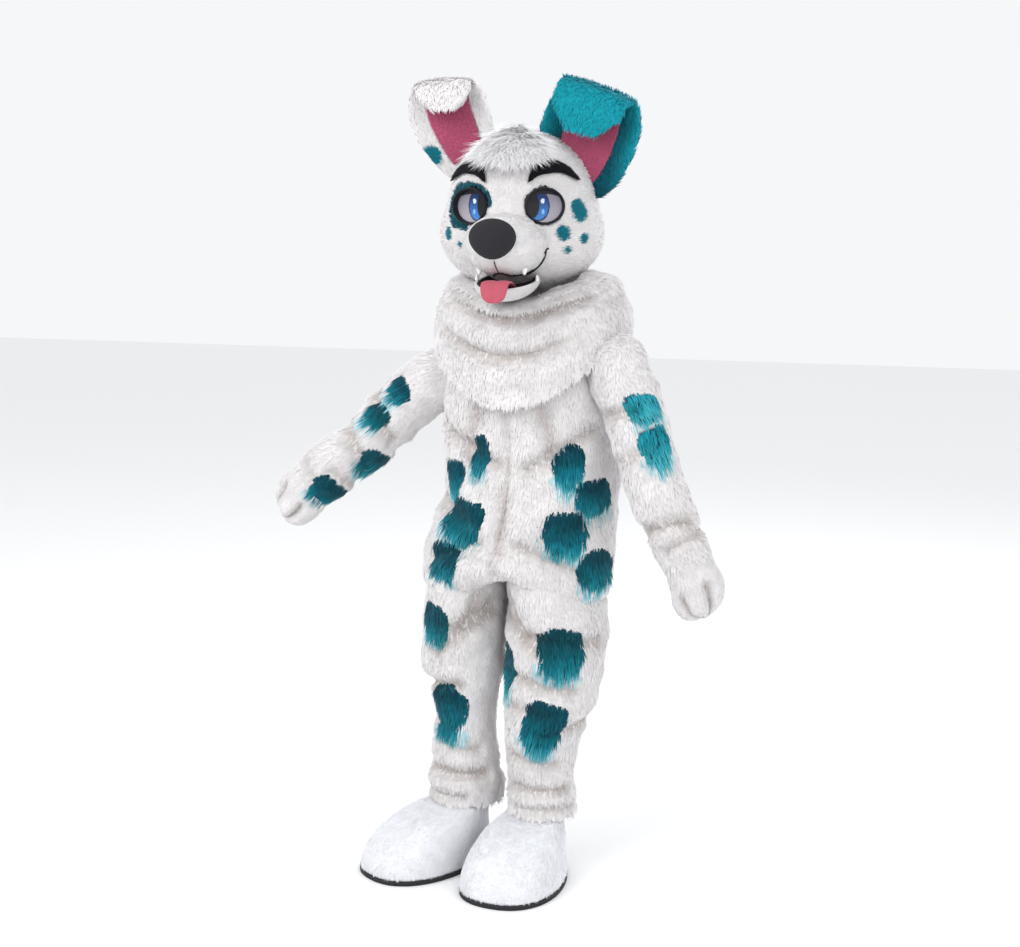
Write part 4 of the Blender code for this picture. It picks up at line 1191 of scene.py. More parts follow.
TRUNK_ROWS: Rows = [
    (1.372, 0.000, 0.010, 0.078, 0.074),
    (1.355, 0.000, 0.010, 0.112, 0.098),
    (1.315, 0.000, 0.008, 0.165, 0.128),
    (1.262, 0.000, 0.005, 0.208, 0.152),
    (1.190, 0.000, 0.000, 0.226, 0.168),
    (1.100, 0.000, 0.000, 0.229, 0.175),
    (1.000, 0.000, 0.000, 0.223, 0.178),
    (0.930, -0.003, -0.002, 0.223, 0.182),
    (0.850, -0.020, -0.005, 0.234, 0.188),
    (0.775, -0.034, -0.006, 0.244, 0.190),
    (0.720, -0.038, -0.006, 0.244, 0.186),
    (0.682, -0.037, -0.004, 0.230, 0.172),
    (0.660, -0.036, -0.002, 0.188, 0.138),
    (0.652, -0.036, 0.000, 0.105, 0.080),
]
LEG_ROWS: dict[Side, Rows] = {
    Side.RIGHT: [
        (0.860, -0.152, 0.000, 0.076, 0.120),
        (0.720, -0.162, -0.002, 0.099, 0.162),
        (0.620, -0.170, -0.005, 0.107, 0.150),
        (0.540, -0.177, -0.010, 0.109, 0.120),
        (0.478, -0.180, -0.010, 0.108, 0.110),
        (0.410, -0.177, 0.000, 0.088, 0.098),
        (0.335, -0.180, 0.000, 0.083, 0.095),
        (0.255, -0.177, -0.004, 0.091, 0.100),
        (0.195, -0.174, -0.010, 0.102, 0.106),
        (0.145, -0.173, -0.012, 0.100, 0.108),
    ],
    Side.LEFT: [
        (0.860, 0.035, 0.000, 0.082, 0.120),
        (0.720, 0.058, -0.006, 0.113, 0.162),
        (0.620, 0.070, -0.012, 0.128, 0.152),
        (0.540, 0.068, -0.020, 0.129, 0.128),
        (0.460, 0.062, -0.025, 0.123, 0.120),
        (0.400, 0.055, -0.030, 0.115, 0.112),
        (0.335, 0.040, -0.032, 0.101, 0.104),
        (0.255, 0.036, -0.036, 0.090, 0.097),
        (0.195, 0.040, -0.040, 0.090, 0.097),
        (0.145, 0.040, -0.042, 0.093, 0.101),
    ],
}
SLEEVE_ROWS: dict[Side, Rows] = {
    Side.RIGHT: [
        (1.235, -0.130, 0.000, 0.045, 0.045),
        (1.228, -0.165, 0.000, 0.066, 0.068),
        (1.205, -0.225, 0.000, 0.084, 0.084),
        (1.155, -0.306, -0.005, 0.080, 0.080),
        (1.068, -0.396, -0.020, 0.078, 0.076),
        (1.020, -0.442, -0.028, 0.073, 0.072),
        (0.990, -0.490, -0.036, 0.078, 0.074),
        (0.955, -0.535, -0.045, 0.079, 0.074),
        (0.925, -0.567, -0.052, 0.070, 0.066),
    ],
    Side.LEFT: [
        (1.283, 0.125, -0.012, 0.045, 0.045),
        (1.292, 0.160, -0.020, 0.068, 0.068),
        (1.280, 0.200, -0.040, 0.078, 0.078),
        (1.210, 0.250, -0.080, 0.080, 0.079),
        (1.110, 0.302, -0.117, 0.079, 0.076),
        (1.030, 0.330, -0.128, 0.076, 0.074),
        (0.925, 0.367, -0.123, 0.075, 0.072),
        (0.850, 0.400, -0.112, 0.070, 0.068),
        (0.797, 0.421, -0.104, 0.064, 0.062),
    ],
}
GLOVE_ROWS: dict[Side, Rows] = {
    Side.RIGHT: [
        (0.921, -0.571, -0.053, 0.069, 0.064),
        (0.902, -0.591, -0.057, 0.073, 0.058),
        (0.878, -0.617, -0.062, 0.074, 0.048),
        (0.857, -0.639, -0.066, 0.060, 0.039),
        (0.846, -0.651, -0.068, 0.034, 0.022),
    ],
    Side.LEFT: [
        (0.792, 0.423, -0.103, 0.063, 0.060),
        (0.762, 0.433, -0.099, 0.069, 0.054),
        (0.722, 0.444, -0.093, 0.071, 0.047),
        (0.690, 0.452, -0.088, 0.058, 0.039),
        (0.676, 0.456, -0.086, 0.034, 0.022),
    ],
}
TRUNK_FOLDS: Rows = [
    (-62, 1.10, -8, 1.02, 0.018, 0.010),
    (58, 1.10, 12, 1.01, 0.018, 0.010),
    (-75, 0.93, -25, 0.88, 0.020, 0.009),
    (72, 0.90, 28, 0.85, 0.020, 0.008),
    (-50, 0.78, -12, 0.83, 0.018, 0.009),
    (14, 0.83, 58, 0.76, 0.018, 0.009),
    (-4, 0.96, 4, 0.80, 0.014, 0.005),
    (112, 1.08, 168, 1.00, 0.020, 0.010),
    (-112, 1.07, -166, 0.98, 0.020, 0.010),
    (120, 0.90, 165, 0.82, 0.022, 0.009),
    (-122, 0.88, -165, 0.81, 0.022, 0.009),
    (-22, 1.16, -34, 1.02, 0.020, 0.008),
    (20, 1.16, 30, 1.04, 0.020, 0.008),
    (-2, 1.15, 2, 0.70, 0.009, 0.006),
    (-48, 1.00, -20, 0.90, 0.030, -0.006),
    (46, 0.98, 20, 0.88, 0.030, -0.006),
]
LEG_FOLDS: dict[Side, Rows] = {
    Side.RIGHT: [
        (-95, 0.445, 15, 0.455, 0.016, 0.014),
        (-20, 0.60, 70, 0.64, 0.020, 0.010),
        (-80, 0.365, 10, 0.345, 0.016, 0.008),
        (-70, 0.235, 60, 0.225, 0.015, 0.013),
        (-100, 0.180, 20, 0.172, 0.011, 0.009),
        (120, 0.42, 220, 0.43, 0.018, 0.012),
        (110, 0.215, 230, 0.225, 0.016, 0.012),
        (150, 0.58, 210, 0.62, 0.020, 0.010),
        (62, 0.66, -20, 0.54, 0.022, 0.010),
        (48, 0.70, 20, 0.60, 0.016, 0.008),
        (-30, 0.30, 50, 0.285, 0.014, 0.008),
    ],
    Side.LEFT: [
        (-10, 0.60, 80, 0.585, 0.020, 0.012),
        (-55, 0.505, 40, 0.475, 0.018, 0.010),
        (15, 0.365, 105, 0.385, 0.016, 0.012),
        (-60, 0.300, 50, 0.285, 0.015, 0.010),
        (-60, 0.225, 75, 0.215, 0.014, 0.012),
        (-30, 0.175, 90, 0.170, 0.010, 0.008),
        (130, 0.43, 230, 0.42, 0.018, 0.012),
        (120, 0.225, 240, 0.215, 0.016, 0.012),
        (-64, 0.66, 12, 0.55, 0.022, 0.010),
        (-46, 0.70, -22, 0.60, 0.016, 0.008),
        (-40, 0.42, 20, 0.41, 0.018, 0.008),
    ],
}
SLEEVE_FOLDS: dict[Side, Rows] = {
    Side.RIGHT: [
        (-70, 1.110, 60, 1.085, 0.014, 0.010),
        (-60, 1.035, 80, 1.015, 0.013, 0.011),
        (20, 0.975, 120, 0.985, 0.012, 0.008),
        (110, 1.075, 230, 1.060, 0.014, 0.010),
        (-60, 0.948, 70, 0.940, 0.010, 0.007),
    ],
    Side.LEFT: [
        (-70, 1.165, 20, 1.140, 0.015, 0.010),
        (-80, 0.905, 60, 0.885, 0.015, 0.012),
        (-30, 0.845, 90, 0.855, 0.013, 0.009),
        (-60, 1.060, 30, 1.050, 0.015, 0.007),
        (120, 1.000, 230, 0.980, 0.015, 0.010),
        (110, 0.870, 220, 0.860, 0.013, 0.009),
    ],
}
GLOVE_FOLDS: dict[Side, Rows] = {
    Side.RIGHT: [
        (-32, 0.888, -38, 0.836, 0.009, 0.013),
        (32, 0.890, 38, 0.836, 0.009, 0.013),
        (148, 0.884, 142, 0.836, 0.009, 0.011),
        (212, 0.886, 218, 0.836, 0.009, 0.011),
    ],
    Side.LEFT: [
        (-32, 0.738, -38, 0.666, 0.009, 0.013),
        (32, 0.742, 38, 0.666, 0.009, 0.013),
        (148, 0.734, 142, 0.666, 0.009, 0.011),
        (212, 0.738, 218, 0.666, 0.009, 0.011),
    ],
}
# x, y, height, half size across and along the nap, brightness
TRUNK_SPOTS = [
    Spot(-0.079, -0.164, 1.037, 0.034, 0.048),
    Spot(-0.151, -0.133, 0.974, 0.038, 0.045),
    Spot(-0.125, -0.157, 0.876, 0.066, 0.058),
    Spot(-0.180, -0.155, 0.769, 0.048, 0.057),
    Spot(0.138, -0.138, 1.021, 0.040, 0.056),
    Spot(0.192, -0.086, 0.939, 0.055, 0.048),
    Spot(0.136, -0.144, 0.855, 0.057, 0.056),
    Spot(0.200, -0.070, 0.761, 0.066, 0.052),
    Spot(-0.120, 0.150, 1.120, 0.050, 0.055),
    Spot(0.075, 0.170, 1.050, 0.055, 0.060),
    Spot(-0.050, 0.180, 0.930, 0.048, 0.055),
    Spot(0.150, 0.145, 0.900, 0.052, 0.055),
    Spot(-0.170, 0.140, 0.850, 0.055, 0.050),
    Spot(0.030, 0.185, 0.790, 0.060, 0.058),
]
LEG_SPOTS: dict[Side, list[Spot]] = {
    Side.RIGHT: [
        Spot(-0.205, -0.125, 0.615, 0.040, 0.056),
        Spot(-0.191, -0.095, 0.379, 0.052, 0.084),
        Spot(-0.190, 0.110, 0.520, 0.050, 0.062),
        Spot(-0.250, 0.050, 0.330, 0.045, 0.060),
    ],
    Side.LEFT: [
        Spot(-0.030, -0.085, 0.512, 0.034, 0.062),
        Spot(0.119, -0.136, 0.567, 0.064, 0.066),
        Spot(0.074, -0.133, 0.378, 0.056, 0.070),
        Spot(0.100, 0.095, 0.560, 0.055, 0.065),
        Spot(0.030, 0.075, 0.360, 0.048, 0.065),
    ],
}
SLEEVE_SPOTS: dict[Side, list[Spot]] = {
    Side.RIGHT: [
        Spot(-0.321, -0.080, 1.172, 0.036, 0.032),
        Spot(-0.378, -0.087, 1.110, 0.036, 0.034),
        Spot(-0.394, -0.057, 0.979, 0.046, 0.042),
        Spot(-0.511, -0.086, 0.900, 0.052, 0.046),
        Spot(-0.330, 0.070, 1.120, 0.042, 0.045),
        Spot(-0.460, 0.035, 1.020, 0.040, 0.045),
    ],
    Side.LEFT: [
        Spot(0.328, -0.165, 1.167, 0.042, 0.044, 1.0),
        Spot(0.361, -0.178, 1.084, 0.040, 0.048, 0.8),
        Spot(0.330, -0.040, 1.000, 0.042, 0.050, 0.4),
    ],
}
# How far the backing lies under the form, and the most locks that a piece holds
LONG_PILE = 0.009
MOST_LOCKS = 49000


def sleeve_axis(side: Side) -> tuple[float, float, float]:
    """The straight direction from the armhole to the wrist."""
    first, last = SLEEVE_ROWS[side][1], SLEEVE_ROWS[side][-1]
    return (last[1] - first[1], last[2] - first[2], last[0] - first[0])


def glove_rows(side: Side) -> Rows:
    """The glove's rows, moved along the arm to start where the cuff ends."""
    axis = Vector(sleeve_axis(side)).normalized()
    cuff, wrist = SLEEVE_ROWS[side][-1], GLOVE_ROWS[side][0]
    apart = Vector((cuff[1] - wrist[1], cuff[2] - wrist[2], cuff[0] - wrist[0]))
    move = axis * apart.dot(axis)
    return [(r[0] + move.z, r[1] + move.x, r[2] + move.y, r[3], r[4]) for r in GLOVE_ROWS[side]]


@dataclass
class Suit:
    """The body of the suit with its sleeves, legs and gloves."""

    density: float = 38500.0

    def __post_init__(self) -> None:
        """Builds the forms, so that each can tell what the others cover."""
        self.trunk = Trunk(TRUNK_ROWS, TRUNK_FOLDS)
        self.legs = {side: Limb(LEG_ROWS[side], LEG_FOLDS[side]) for side in Side}
        self.sleeves = {
            side: Limb(SLEEVE_ROWS[side], SLEEVE_FOLDS[side], sleeve_axis(side)) for side in Side
        }
        self.gloves = {
            side: Limb(glove_rows(side), GLOVE_FOLDS[side], sleeve_axis(side), ripple=0.0015)
            for side in Side
        }

    def lock_count(self, rings: Array) -> int:
        """Locks for a skin, by its area."""
        around = np.roll(rings, -1, 1) - rings
        area = np.linalg.norm(np.cross(around[:-1], rings[1:] - rings[:-1]), axis=-1).sum()
        return int(min(area * self.density, MOST_LOCKS))

    def dress(self, name: str, form: Limb, grid: tuple[int, int], spots: list[Spot],
              nodes: list[str], hidden: list[Cover], seed: int) -> bpy.types.Object:
        """Makes a cloth shell and grows its pile.

        Args:
            name: the shell's name.
            form: the form under the fur.
            grid: points round and steps down.
            spots: dyed spots.
            nodes: the solids that the shell stands for.
            hidden: the forms that cover parts of it.
            seed: which draw.

        Returns:
            The shell.
        """
        rings = form.skin(*grid, -LONG_PILE)
        shell = cloth_shell(name, rings, hidden, spots, "white_fur", nodes)
        drawn = scatter(rings, self.lock_count(rings), seed, creases=form.creases(*grid))
        grow(f"{name}_pile", uncovered(drawn, hidden), Coat(seed=seed), spots)
        return shell

    def build(self, cowl: Cowl, feet: dict[Side, Foot]) -> None:
        """Builds the trunk, then each side's sleeve, leg and glove."""
        body = self.dress(
            "suit_body", self.trunk, (104, 76), TRUNK_SPOTS,
            ["suit_front_left", "suit_front_right", "suit_back_left", "suit_back_right"],
            [cowl, *self.sleeves.values()], 20,
        )
        for number, side in enumerate(Side):
            word = side.word
            sleeve = self.dress(
                f"suit_sleeve_{word}", self.sleeves[side], (60, 72), SLEEVE_SPOTS[side],
                [f"sleeve_{word}"], [self.trunk, cowl], 30 + number,
            )
            leg = self.dress(
                f"suit_leg_{word}", self.legs[side], (72, 72), LEG_SPOTS[side],
                [f"leg_{word}"], [self.trunk, feet[side]], 40 + number,
            )
            self.build_glove(side, 50 + number)

    def build_glove(self, side: Side, seed: int) -> None:
        """A fur glove, closed at the finger tips, with denser and shorter pile."""
        grid, denser = (48, 30), 1.8
        rings = self.gloves[side].skin(*grid, -LONG_PILE * 0.8)
        glove = add_piece(f"fur_glove_{side.word}", capped(rings, first=False), BACKING, WHITE_ROOT,
                          "white_fur", f"glove_{side.word}", depth=CLOTH)
        creases = self.gloves[side].creases(*grid)
        roots = scatter(rings, int(self.lock_count(rings) * denser), seed, creases=creases)
        coat = Coat(length=0.010, width=0.0036, lie=12, seed=seed)
        grow(f"fur_glove_{side.word}_pile", roots, coat)


@dataclass
class FootCover:
    """A padded foot cover with short smooth pile, on a flat sole."""

    side: Side
    form: Foot
    pile_from: float = 0.016
    sole_inset: float = 0.0008
    # height and inset of each ring, whose edges are rounded
    sole_rings: Rows = field(default_factory=lambda: [
        (0.012, -0.0012),
        (0.0108, 0.0),
        (0.0012, 0.0),
        (0.0, -0.0016),
    ])

    def build(self, seed: int) -> None:
        """The cover, its pile and the sole."""
        word = self.side.word
        rings = self.form.skin(64, 30, -0.004)
        rings[-1, :, 2] = self.form.base - FLOOR_DROP
        cover = add_piece(f"foot_cover_{word}", wall(rings, CLOTH), FLEECE, FOOT_ROOT,
                          "foot_fleece", f"foot_{word}")
        coat = Coat(length=0.0080, width=0.0032, lie=22, spread=18, clump=12, uneven=0.2,
                    root=FOOT_ROOT, tip=FOOT_TIP, seed=seed)
        roots = scatter(rings, 9000, seed)
        roots = roots.keep(roots.place[:, 2] > self.pile_from - FLOOR_DROP)
        grow(f"foot_cover_{word}_pile", roots, coat, slot="foot_fleece")
        self.build_sole()

    def build_sole(self) -> None:
        """The flat black sole."""
        angles = round_angles(96)
        rings = np.array([
            self.form.place(self.form.plan(angles, -self.sole_inset + inset), height)
            for height, inset in self.sole_rings
        ])
        add_piece(f"foot_sole_{self.side.word}", capped(rings), RUBBER, SOLE_BLACK,
                  "sole_rubber", f"sole_{self.side.word}")


@dataclass
class NeckCowl:
    """The draped fur collar."""

    form: Cowl
    grid: tuple[int, int] = (100, 44)

    def build(self, head: HeadForm) -> None:
        """The drape's wall and its pile."""
        rings = rippled(self.form.skin(*self.grid, -LONG_PILE), (0.09, 0.045), 61, 0.0028)
        drape = add_piece("neck_cowl", wall(rings, CLOTH), BACKING, WHITE_ROOT, "white_fur", "cowl")
        roots = scatter(rings, 21500, 60, creases=self.form.creases(*self.grid))
        roots = uncovered(roots, [head], 0.002)
        grow("neck_cowl_pile", roots, Coat(width=0.0040, lie=12, uneven=0.30, seed=60))


# The head


@dataclass
class Head:
    """The hollow head with its muzzle, jaw, eyes, brows, forelock and ears."""

    form: HeadForm = field(default_factory=HeadForm)
    eye_at: tuple[float, float, float] = (0.084, 0.155, 1.610)
    eye_lean: float = math.radians(20.0)
    eye_half: tuple[float, float] = (0.047, 0.043)
    jaw_at: tuple[float, float, float] = (0.0, 0.160, 1.449)
    jaw_half: tuple[float, float, float] = (0.076, 0.116, 0.050)
    jaw_tilt: float = math.radians(9.0)
    jaw_top: float = 1.444
    nose_at: tuple[float, float, float] = (0.0, 0.305, 1.540)
    nose_half: tuple[float, float, float] = (0.053, 0.034, 0.045)
    neck_half: tuple[float, float] = (0.106, 0.098)
    neck_top: float = 1.430
    backing_lift: float = -0.008
    muzzle_lift: float = 0.004
    face_from: float = 0.02
    back_from: float = 0.06

    def eye_frame(self, side: Side) -> tuple[Array, Array, Array, Array]:
        """An eye's middle, its across and up directions and its line of sight."""
        sign = side.value
        sight = np.array([sign * math.sin(self.eye_lean), math.cos(self.eye_lean), 0.0])
        across = np.array([math.cos(self.eye_lean), -sign * math.sin(self.eye_lean), 0.0])
        toward = np.array(self.eye_at) * [sign, 1, 1] - np.array(self.form.hub)
        return self.form.surface(toward), across, np.array([0.0, 0.0, 1.0]), sight

    def eye_share(self, local: Array, side: Side) -> Array:
        """Oval distance from an eye's middle, 1 at the rim's outer edge."""
        middle, across, up, _ = self.eye_frame(side)
        away = local - middle
        return np.hypot((away @ across) / self.eye_half[0], (away @ up) / self.eye_half[1])

    def eye_points(self, side: Side, sideways: Array, upwards: Array, ahead: Array) -> Array:
        """Places given across, up and along an eye's line of sight, from its middle."""
        middle, across, up, sight = self.eye_frame(side)
        return (middle + sideways[..., None] * across + upwards[..., None] * up
                + ahead[..., None] * sight)

    def neck_share(self, local: Array) -> Array:
        """Oval distance from the neck hole's middle, 1 at its edge."""
        return np.hypot(local[:, 0] / self.neck_half[0], local[:, 1] / self.neck_half[1])

    def spots(self) -> list[Spot]:
        """Cheek and brow spots, in a layout of their own."""
        rows = [
            # side, forward, height, half across, half along
            (0.152, 0.095, 1.602, 0.029, 0.025),
            (0.126, 0.135, 1.552, 0.020, 0.018),
            (0.160, 0.090, 1.540, 0.016, 0.015),
            (0.140, 0.125, 1.508, 0.013, 0.012),
            (-0.150, 0.110, 1.550, 0.018, 0.017),
            (-0.130, 0.145, 1.520, 0.011, 0.011),
        ]
        made = []
        for side, forward, height, across, along in rows:
            toward = np.array([side, forward, height]) - np.array(self.form.hub)
            x, y, z = self.form.place(self.form.surface(toward))
            made.append(Spot(float(x), float(y), float(z) + FLOOR_DROP, across, along, small=True))
        return made

    def eye_patch(self, local: Array) -> Array:
        """Where the teal patch round the right eye lies: a ring, thick on its outer side."""
        inner_edge, outer_edge, widest = 1.22, 0.34, 1.2
        middle, across, _, _ = self.eye_frame(Side.RIGHT)
        outer = np.clip(-((local - middle) @ across) / self.eye_half[0], 0, widest)
        on_face = local[:, 1] > self.face_from
        return on_face & (self.eye_share(local, Side.RIGHT) < inner_edge + outer_edge * outer)

    def build(self) -> None:
        """Builds every piece of the head."""
        self.build_shell()
        for side in Side:
            self.build_eye_bowl(side)
            self.build_eye_rim(side)
            self.build_brow(side)
        self.build_nose()
        self.build_mouth()
        self.build_forelock()
        for side in Side:
            self.build_ear(side)

    def build_shell(self) -> None:
        """The head's skin, open at the neck and behind the eyes, and its pile."""
        directions = self.form.directions(100, 76)
        muzzle = self.muzzle_share(self.form.surface(directions, self.backing_lift))
        lift = self.backing_lift + self.muzzle_lift * muzzle
        rings = self.form.place(self.form.surface(directions, lift))
        points, faces = capped(rings)
        local = self.form.local(points)
        gone = (local[:, 2] < self.neck_top) & (self.neck_share(local) < 1.0)
        for side in Side:
            gone |= (self.eye_share(local, side) < 0.9) & (local[:, 1] > 0.05)
        nap = unit(np.gradient(rings, axis=0)).reshape(-1, 3)
        tint = self.skin_colours(points, local, np.concatenate([nap, nap[[0, -1]]]))
        points, faces, kept = without(points, faces, gone)
        shell = add_piece("head_skin", (points, faces), BACKING, tint[kept],
                          "white_fur", "head_shell", depth=CLOTH)
        self.grow_pile(rings)

    def skin_colours(self, points: Array, local: Array, nap: Array) -> Array:
        """The backing's colours: teal under the eye's patch and the spots, pale on the muzzle."""
        tint = np.array(WHITE_ROOT) * np.ones((len(points), 1))
        tint[self.eye_patch(local)] = np.array(TEAL_TIP) * 0.7
        for spot in self.spots():
            share, _ = spot.share(points, nap)
            tint[share < BACKING_SHARE] = np.array(TEAL_TIP)
        on_muzzle = self.muzzle_share(local) > 0.5
        return np.where(on_muzzle[:, None], np.array(MUZZLE_ROOT), tint)

    def muzzle_share(self, local: Array) -> Array:
        """1 on the muzzle and 0 off it, with soft edges."""
        wider, fade, muzzle_from, fade_length = 1.12, 0.2, 0.135, 0.04
        centre, half = self.form.forms[2]
        apart = oval_share(local, centre, np.array(half) * wider)
        forward = np.clip((local[..., 1] - muzzle_from) / fade_length, 0, 1)
        return forward * (np.clip(1.25 - apart, 0, fade) / fade)

    def pile_places(self, local: Array) -> Array:
        """Whether pile can stand at each place, clear of the neck hole, eyes, nose and jaw."""
        lip_top = 1.452
        free = (local[:, 2] > self.neck_top) | (self.neck_share(local) > 1.04)
        for side in Side:
            free &= (self.eye_share(local, side) > 1.03) | (local[:, 1] < 0.05)
        free &= oval_share(local, self.nose_at, self.nose_half) > 1.02
        return free & ((oval_share(local, self.jaw_at, self.jaw_half) > 1.0) | (local[:, 2] > lip_top))

    def grow_pile(self, rings: Array) -> None:
        """Pile that runs back from the nose, then down the back, where two in five are left out."""
        roots = scatter(rings, 33000, 70)
        behind = self.form.local(roots.place)[:, 1] < self.back_from
        roots = roots.keep(~behind | (np.arange(len(behind)) % 5 > 1))
        local = self.form.local(roots.place)
        fall = self.form.turned(np.array([0.0, -0.7, -1.0]))
        fall = unit(fall - roots.out * (roots.out @ fall)[:, None])
        back = np.clip((self.back_from - local[:, 1]) / 0.12, 0, 1)[:, None]
        roots.nap = unit(roots.nap * (1 - back) + fall * back)
        muzzle = self.muzzle_share(local)
        face = np.clip((local[:, 1] - self.face_from) / 0.06, 0, 1)
        near_eye = np.minimum(*(self.eye_share(local, side) for side in Side))
        shortest = 0.35
        roots.scale = np.minimum(1 - 0.66 * muzzle, 1 - 0.40 * face)
        roots.scale *= np.clip(shortest + (near_eye - 1) * 1.2, shortest, 1)
        free = self.pile_places(local)
        patch = (self.eye_patch(local) & (muzzle < 0.5))[free]
        kept = roots.keep(free)
        white = Coat(length=0.015, lie=18, seed=71, spot_length=0.014)
        grow("head_pile", kept.keep(~patch), white, self.spots())
        dyed = Coat(length=0.014, lie=28, root=TEAL_ROOT, tip=TEAL_TIP, seed=72)
        grow("eye_patch_pile", kept.keep(patch), dyed, slot="teal_fur")

    def build_eye_bowl(self, side: Side) -> None:
        """A concave printed bowl, whose depth is sink + hollow * (1 - r^2)."""
        sink, hollow, inset = 0.0125, 0.005, 0.0062
        radius = np.linspace(0.01, 1, 30)[:, None]
        angles = round_angles(64)[None, :]
        u, v = radius * np.sin(angles), radius * np.cos(angles)
        half = np.array(self.eye_half) - inset
        depth = -sink - hollow * (1 - radius ** 2) * np.ones_like(angles)
        local = self.eye_points(side, u * half[0], v * half[1], depth)
        bowl = capped(self.form.place(local), last=False)
        tint = self.eye_print(np.append(u, 0.0), np.append(v, 0.0), side)
        add_piece(f"eye_bowl_{side.word}", bowl, EYE_MESH, tint,
                  "eye_plastic", f"eye_{side.word}", depth=0.001)

    def build_eye_rim(self, side: Side) -> None:
        """A closed ring of dark foam, oval in section, sunk along the line of sight."""
        middle_inset, half_width, half_depth, sink = 0.0034, 0.0030, 0.0144, 0.008
        turn, angles = round_angles(20)[:, None], round_angles(64)[None, :]
        inset = middle_inset + half_width * np.sin(turn)
        ahead = (half_depth * np.cos(turn) - sink) * np.ones_like(angles)
        wide = (self.eye_half[0] - inset) * np.sin(angles)
        tall = (self.eye_half[1] - inset) * np.cos(angles)
        points = self.form.place(self.eye_points(side, wide, tall, ahead)).reshape(-1, 3)
        quads = grid_quads(turn.size + 1, angles.size) % len(points)
        add_piece(f"eye_edge_{side.word}", (points, quads[:, ::-1]), FOAM, RIM_BLACK,
                  "eye_rim_foam", f"eye_rim_{side.word}")

    def eye_print(self, u: Array, v: Array, side: Side) -> Array:
        """Colours printed on the eye, from the place across and up, each from -1 to 1.

        On a grey white lies a blue iris that is lighter below, and in it a dark pupil on
        the nose's side and two lights. A dark lid line and the upper lid's painted shadow cover the
        top.
        """
        inward = -side.value * u
        print_at = np.stack([inward, v], -1)
        low = np.clip((0.5 - v) / 1.3, 0, 1)
        iris = oval_share(print_at, (0.34, 0.02), (0.66, 0.96))
        pupil = oval_share(print_at, (0.72, 0.04), (0.46, 0.80))
        light = oval_share(print_at, (0.08, 0.32), (0.11, 0.16))
        glow = oval_share(print_at, (0.06, -0.34), (0.08, 0.16))
        tint = mixed(EYE_WHITE_TOP, EYE_WHITE_LOW, low)
        for where, ink in (
            (iris < 1, mixed(IRIS_TOP, IRIS_LOW, low)),
            ((iris > 0.90) & (iris < 1.0), IRIS_EDGE),
            (pupil < 1, PUPIL_BLACK),
            (light < 1, EYE_LIGHT),
            (glow < 1, EYE_GLOW),
            # a dark lid line with the upper lid's painted shadow
            (v > 0.74 - 0.20 * inward ** 2, LID_LINE_AND_SHADOW),
        ):
            tint = np.where(where[:, None], np.array(ink), tint)
        return tint

    def strip(self, middle: Array, edge: Array, height: float, rows: int) -> Array:
        """A pillow on the skin, sewn on all round.

        Args:
            middle: directions along its middle line.
            edge: from each of them to the pillow's edge.
            height: how high it stands in the middle.
            rows: rows from edge to edge.

        Returns:
            Its outer grid.
        """
        shares = np.linspace(-1, 1, rows)[:, None, None]
        lines = middle[None] + edge[None] * shares
        crown = np.sqrt(np.clip(1 - shares[..., 0] ** 2, 0, 1))
        along = np.linspace(0.0, 1.0, len(middle)) * math.pi
        taper = np.sqrt(np.sin(along).clip(0, 1))[None, :]
        outer = self.form.place(self.form.surface(lines, -0.001 + height * crown * taper))
        return facing_out(outer, self.form.place(self.form.hub))

    def brow_lines(self, side: Side, columns: int) -> tuple[Array, Array]:
        """An eyebrow's middle line of directions and its half height."""
        # sideways and climb angles of the middle line, half height in degrees
        rows = [
            (19, 31.0, 1.0), (26, 38.0, 3.8), (38, 41.5, 4.8),
            (50, 40.5, 4.0), (60, 36.5, 2.8), (67, 31.5, 0.8),
        ]
        at = evenly(rows, columns)
        middle = aim(side.value * at[:, 0], at[:, 1])
        return middle, aim(side.value * at[:, 0], at[:, 1] + at[:, 2]) - middle

    def build_brow(self, side: Side) -> None:
        """A tapered black eyebrow of short pile."""
        columns, rows = 48, 15
        outer = self.strip(*self.brow_lines(side, columns), CLOTH, rows)
        quads = grid_quads(rows, columns, closed=False)
        add_piece(f"eyebrow_{side.word}", (outer.reshape(-1, 3), quads), BLACK_FLEECE, BLACK_ROOT,
                  "black_fleece", f"brow_{side.word}", depth=CLOTH)
        along = outer.transpose(1, 0, 2)
        first, last = (abs(self.form.local(along[end, 0])[0]) for end in (0, -1))
        if first > last:
            along = along[::-1]
        along = facing_out(along, self.form.place(self.form.hub))
        roots = scatter(along, 2400, 80 + side.value, closed=False)
        coat = Coat(length=0.009, width=0.0022, lie=26, spread=12, clump=6, root=BLACK_ROOT,
                    tip=BLACK_TIP, seed=82 + side.value)
        grow(f"eyebrow_{side.word}_pile", roots, coat, slot="black_fleece")

    def egg(self, centre: tuple, half: tuple, count: int, steps: int) -> Array:
        """Rings of an egg from its front to its back."""
        level = np.linspace(0.02, 0.98, steps)[:, None] * math.pi
        around = round_angles(count)[None, :]
        return np.stack([
            centre[0] + half[0] * np.sin(level) * np.sin(around),
            centre[1] + half[1] * np.cos(level) * np.ones_like(around),
            centre[2] + half[2] * np.sin(level) * np.cos(around),
        ], -1)

    def build_nose(self) -> None:
        """A matt nose: an egg that is broad above and narrow below."""
        local = self.egg(self.nose_at, self.nose_half, 64, 48)
        rise = (local[..., 2] - self.nose_at[2]) / self.nose_half[2]
        local[..., 0] *= 1 + 0.10 * rise - 0.06 * rise ** 2
        add_piece("nose_pad", capped(self.form.place(local)), BLACK_FLEECE, BLACK_ROOT,
                  "black_fleece", "nose")

    def lip_height(self, forward: Array) -> Array:
        """Height of the jaw's lip, which drops towards the front."""
        return self.jaw_top - (forward - self.jaw_at[1]) * math.tan(self.jaw_tilt)

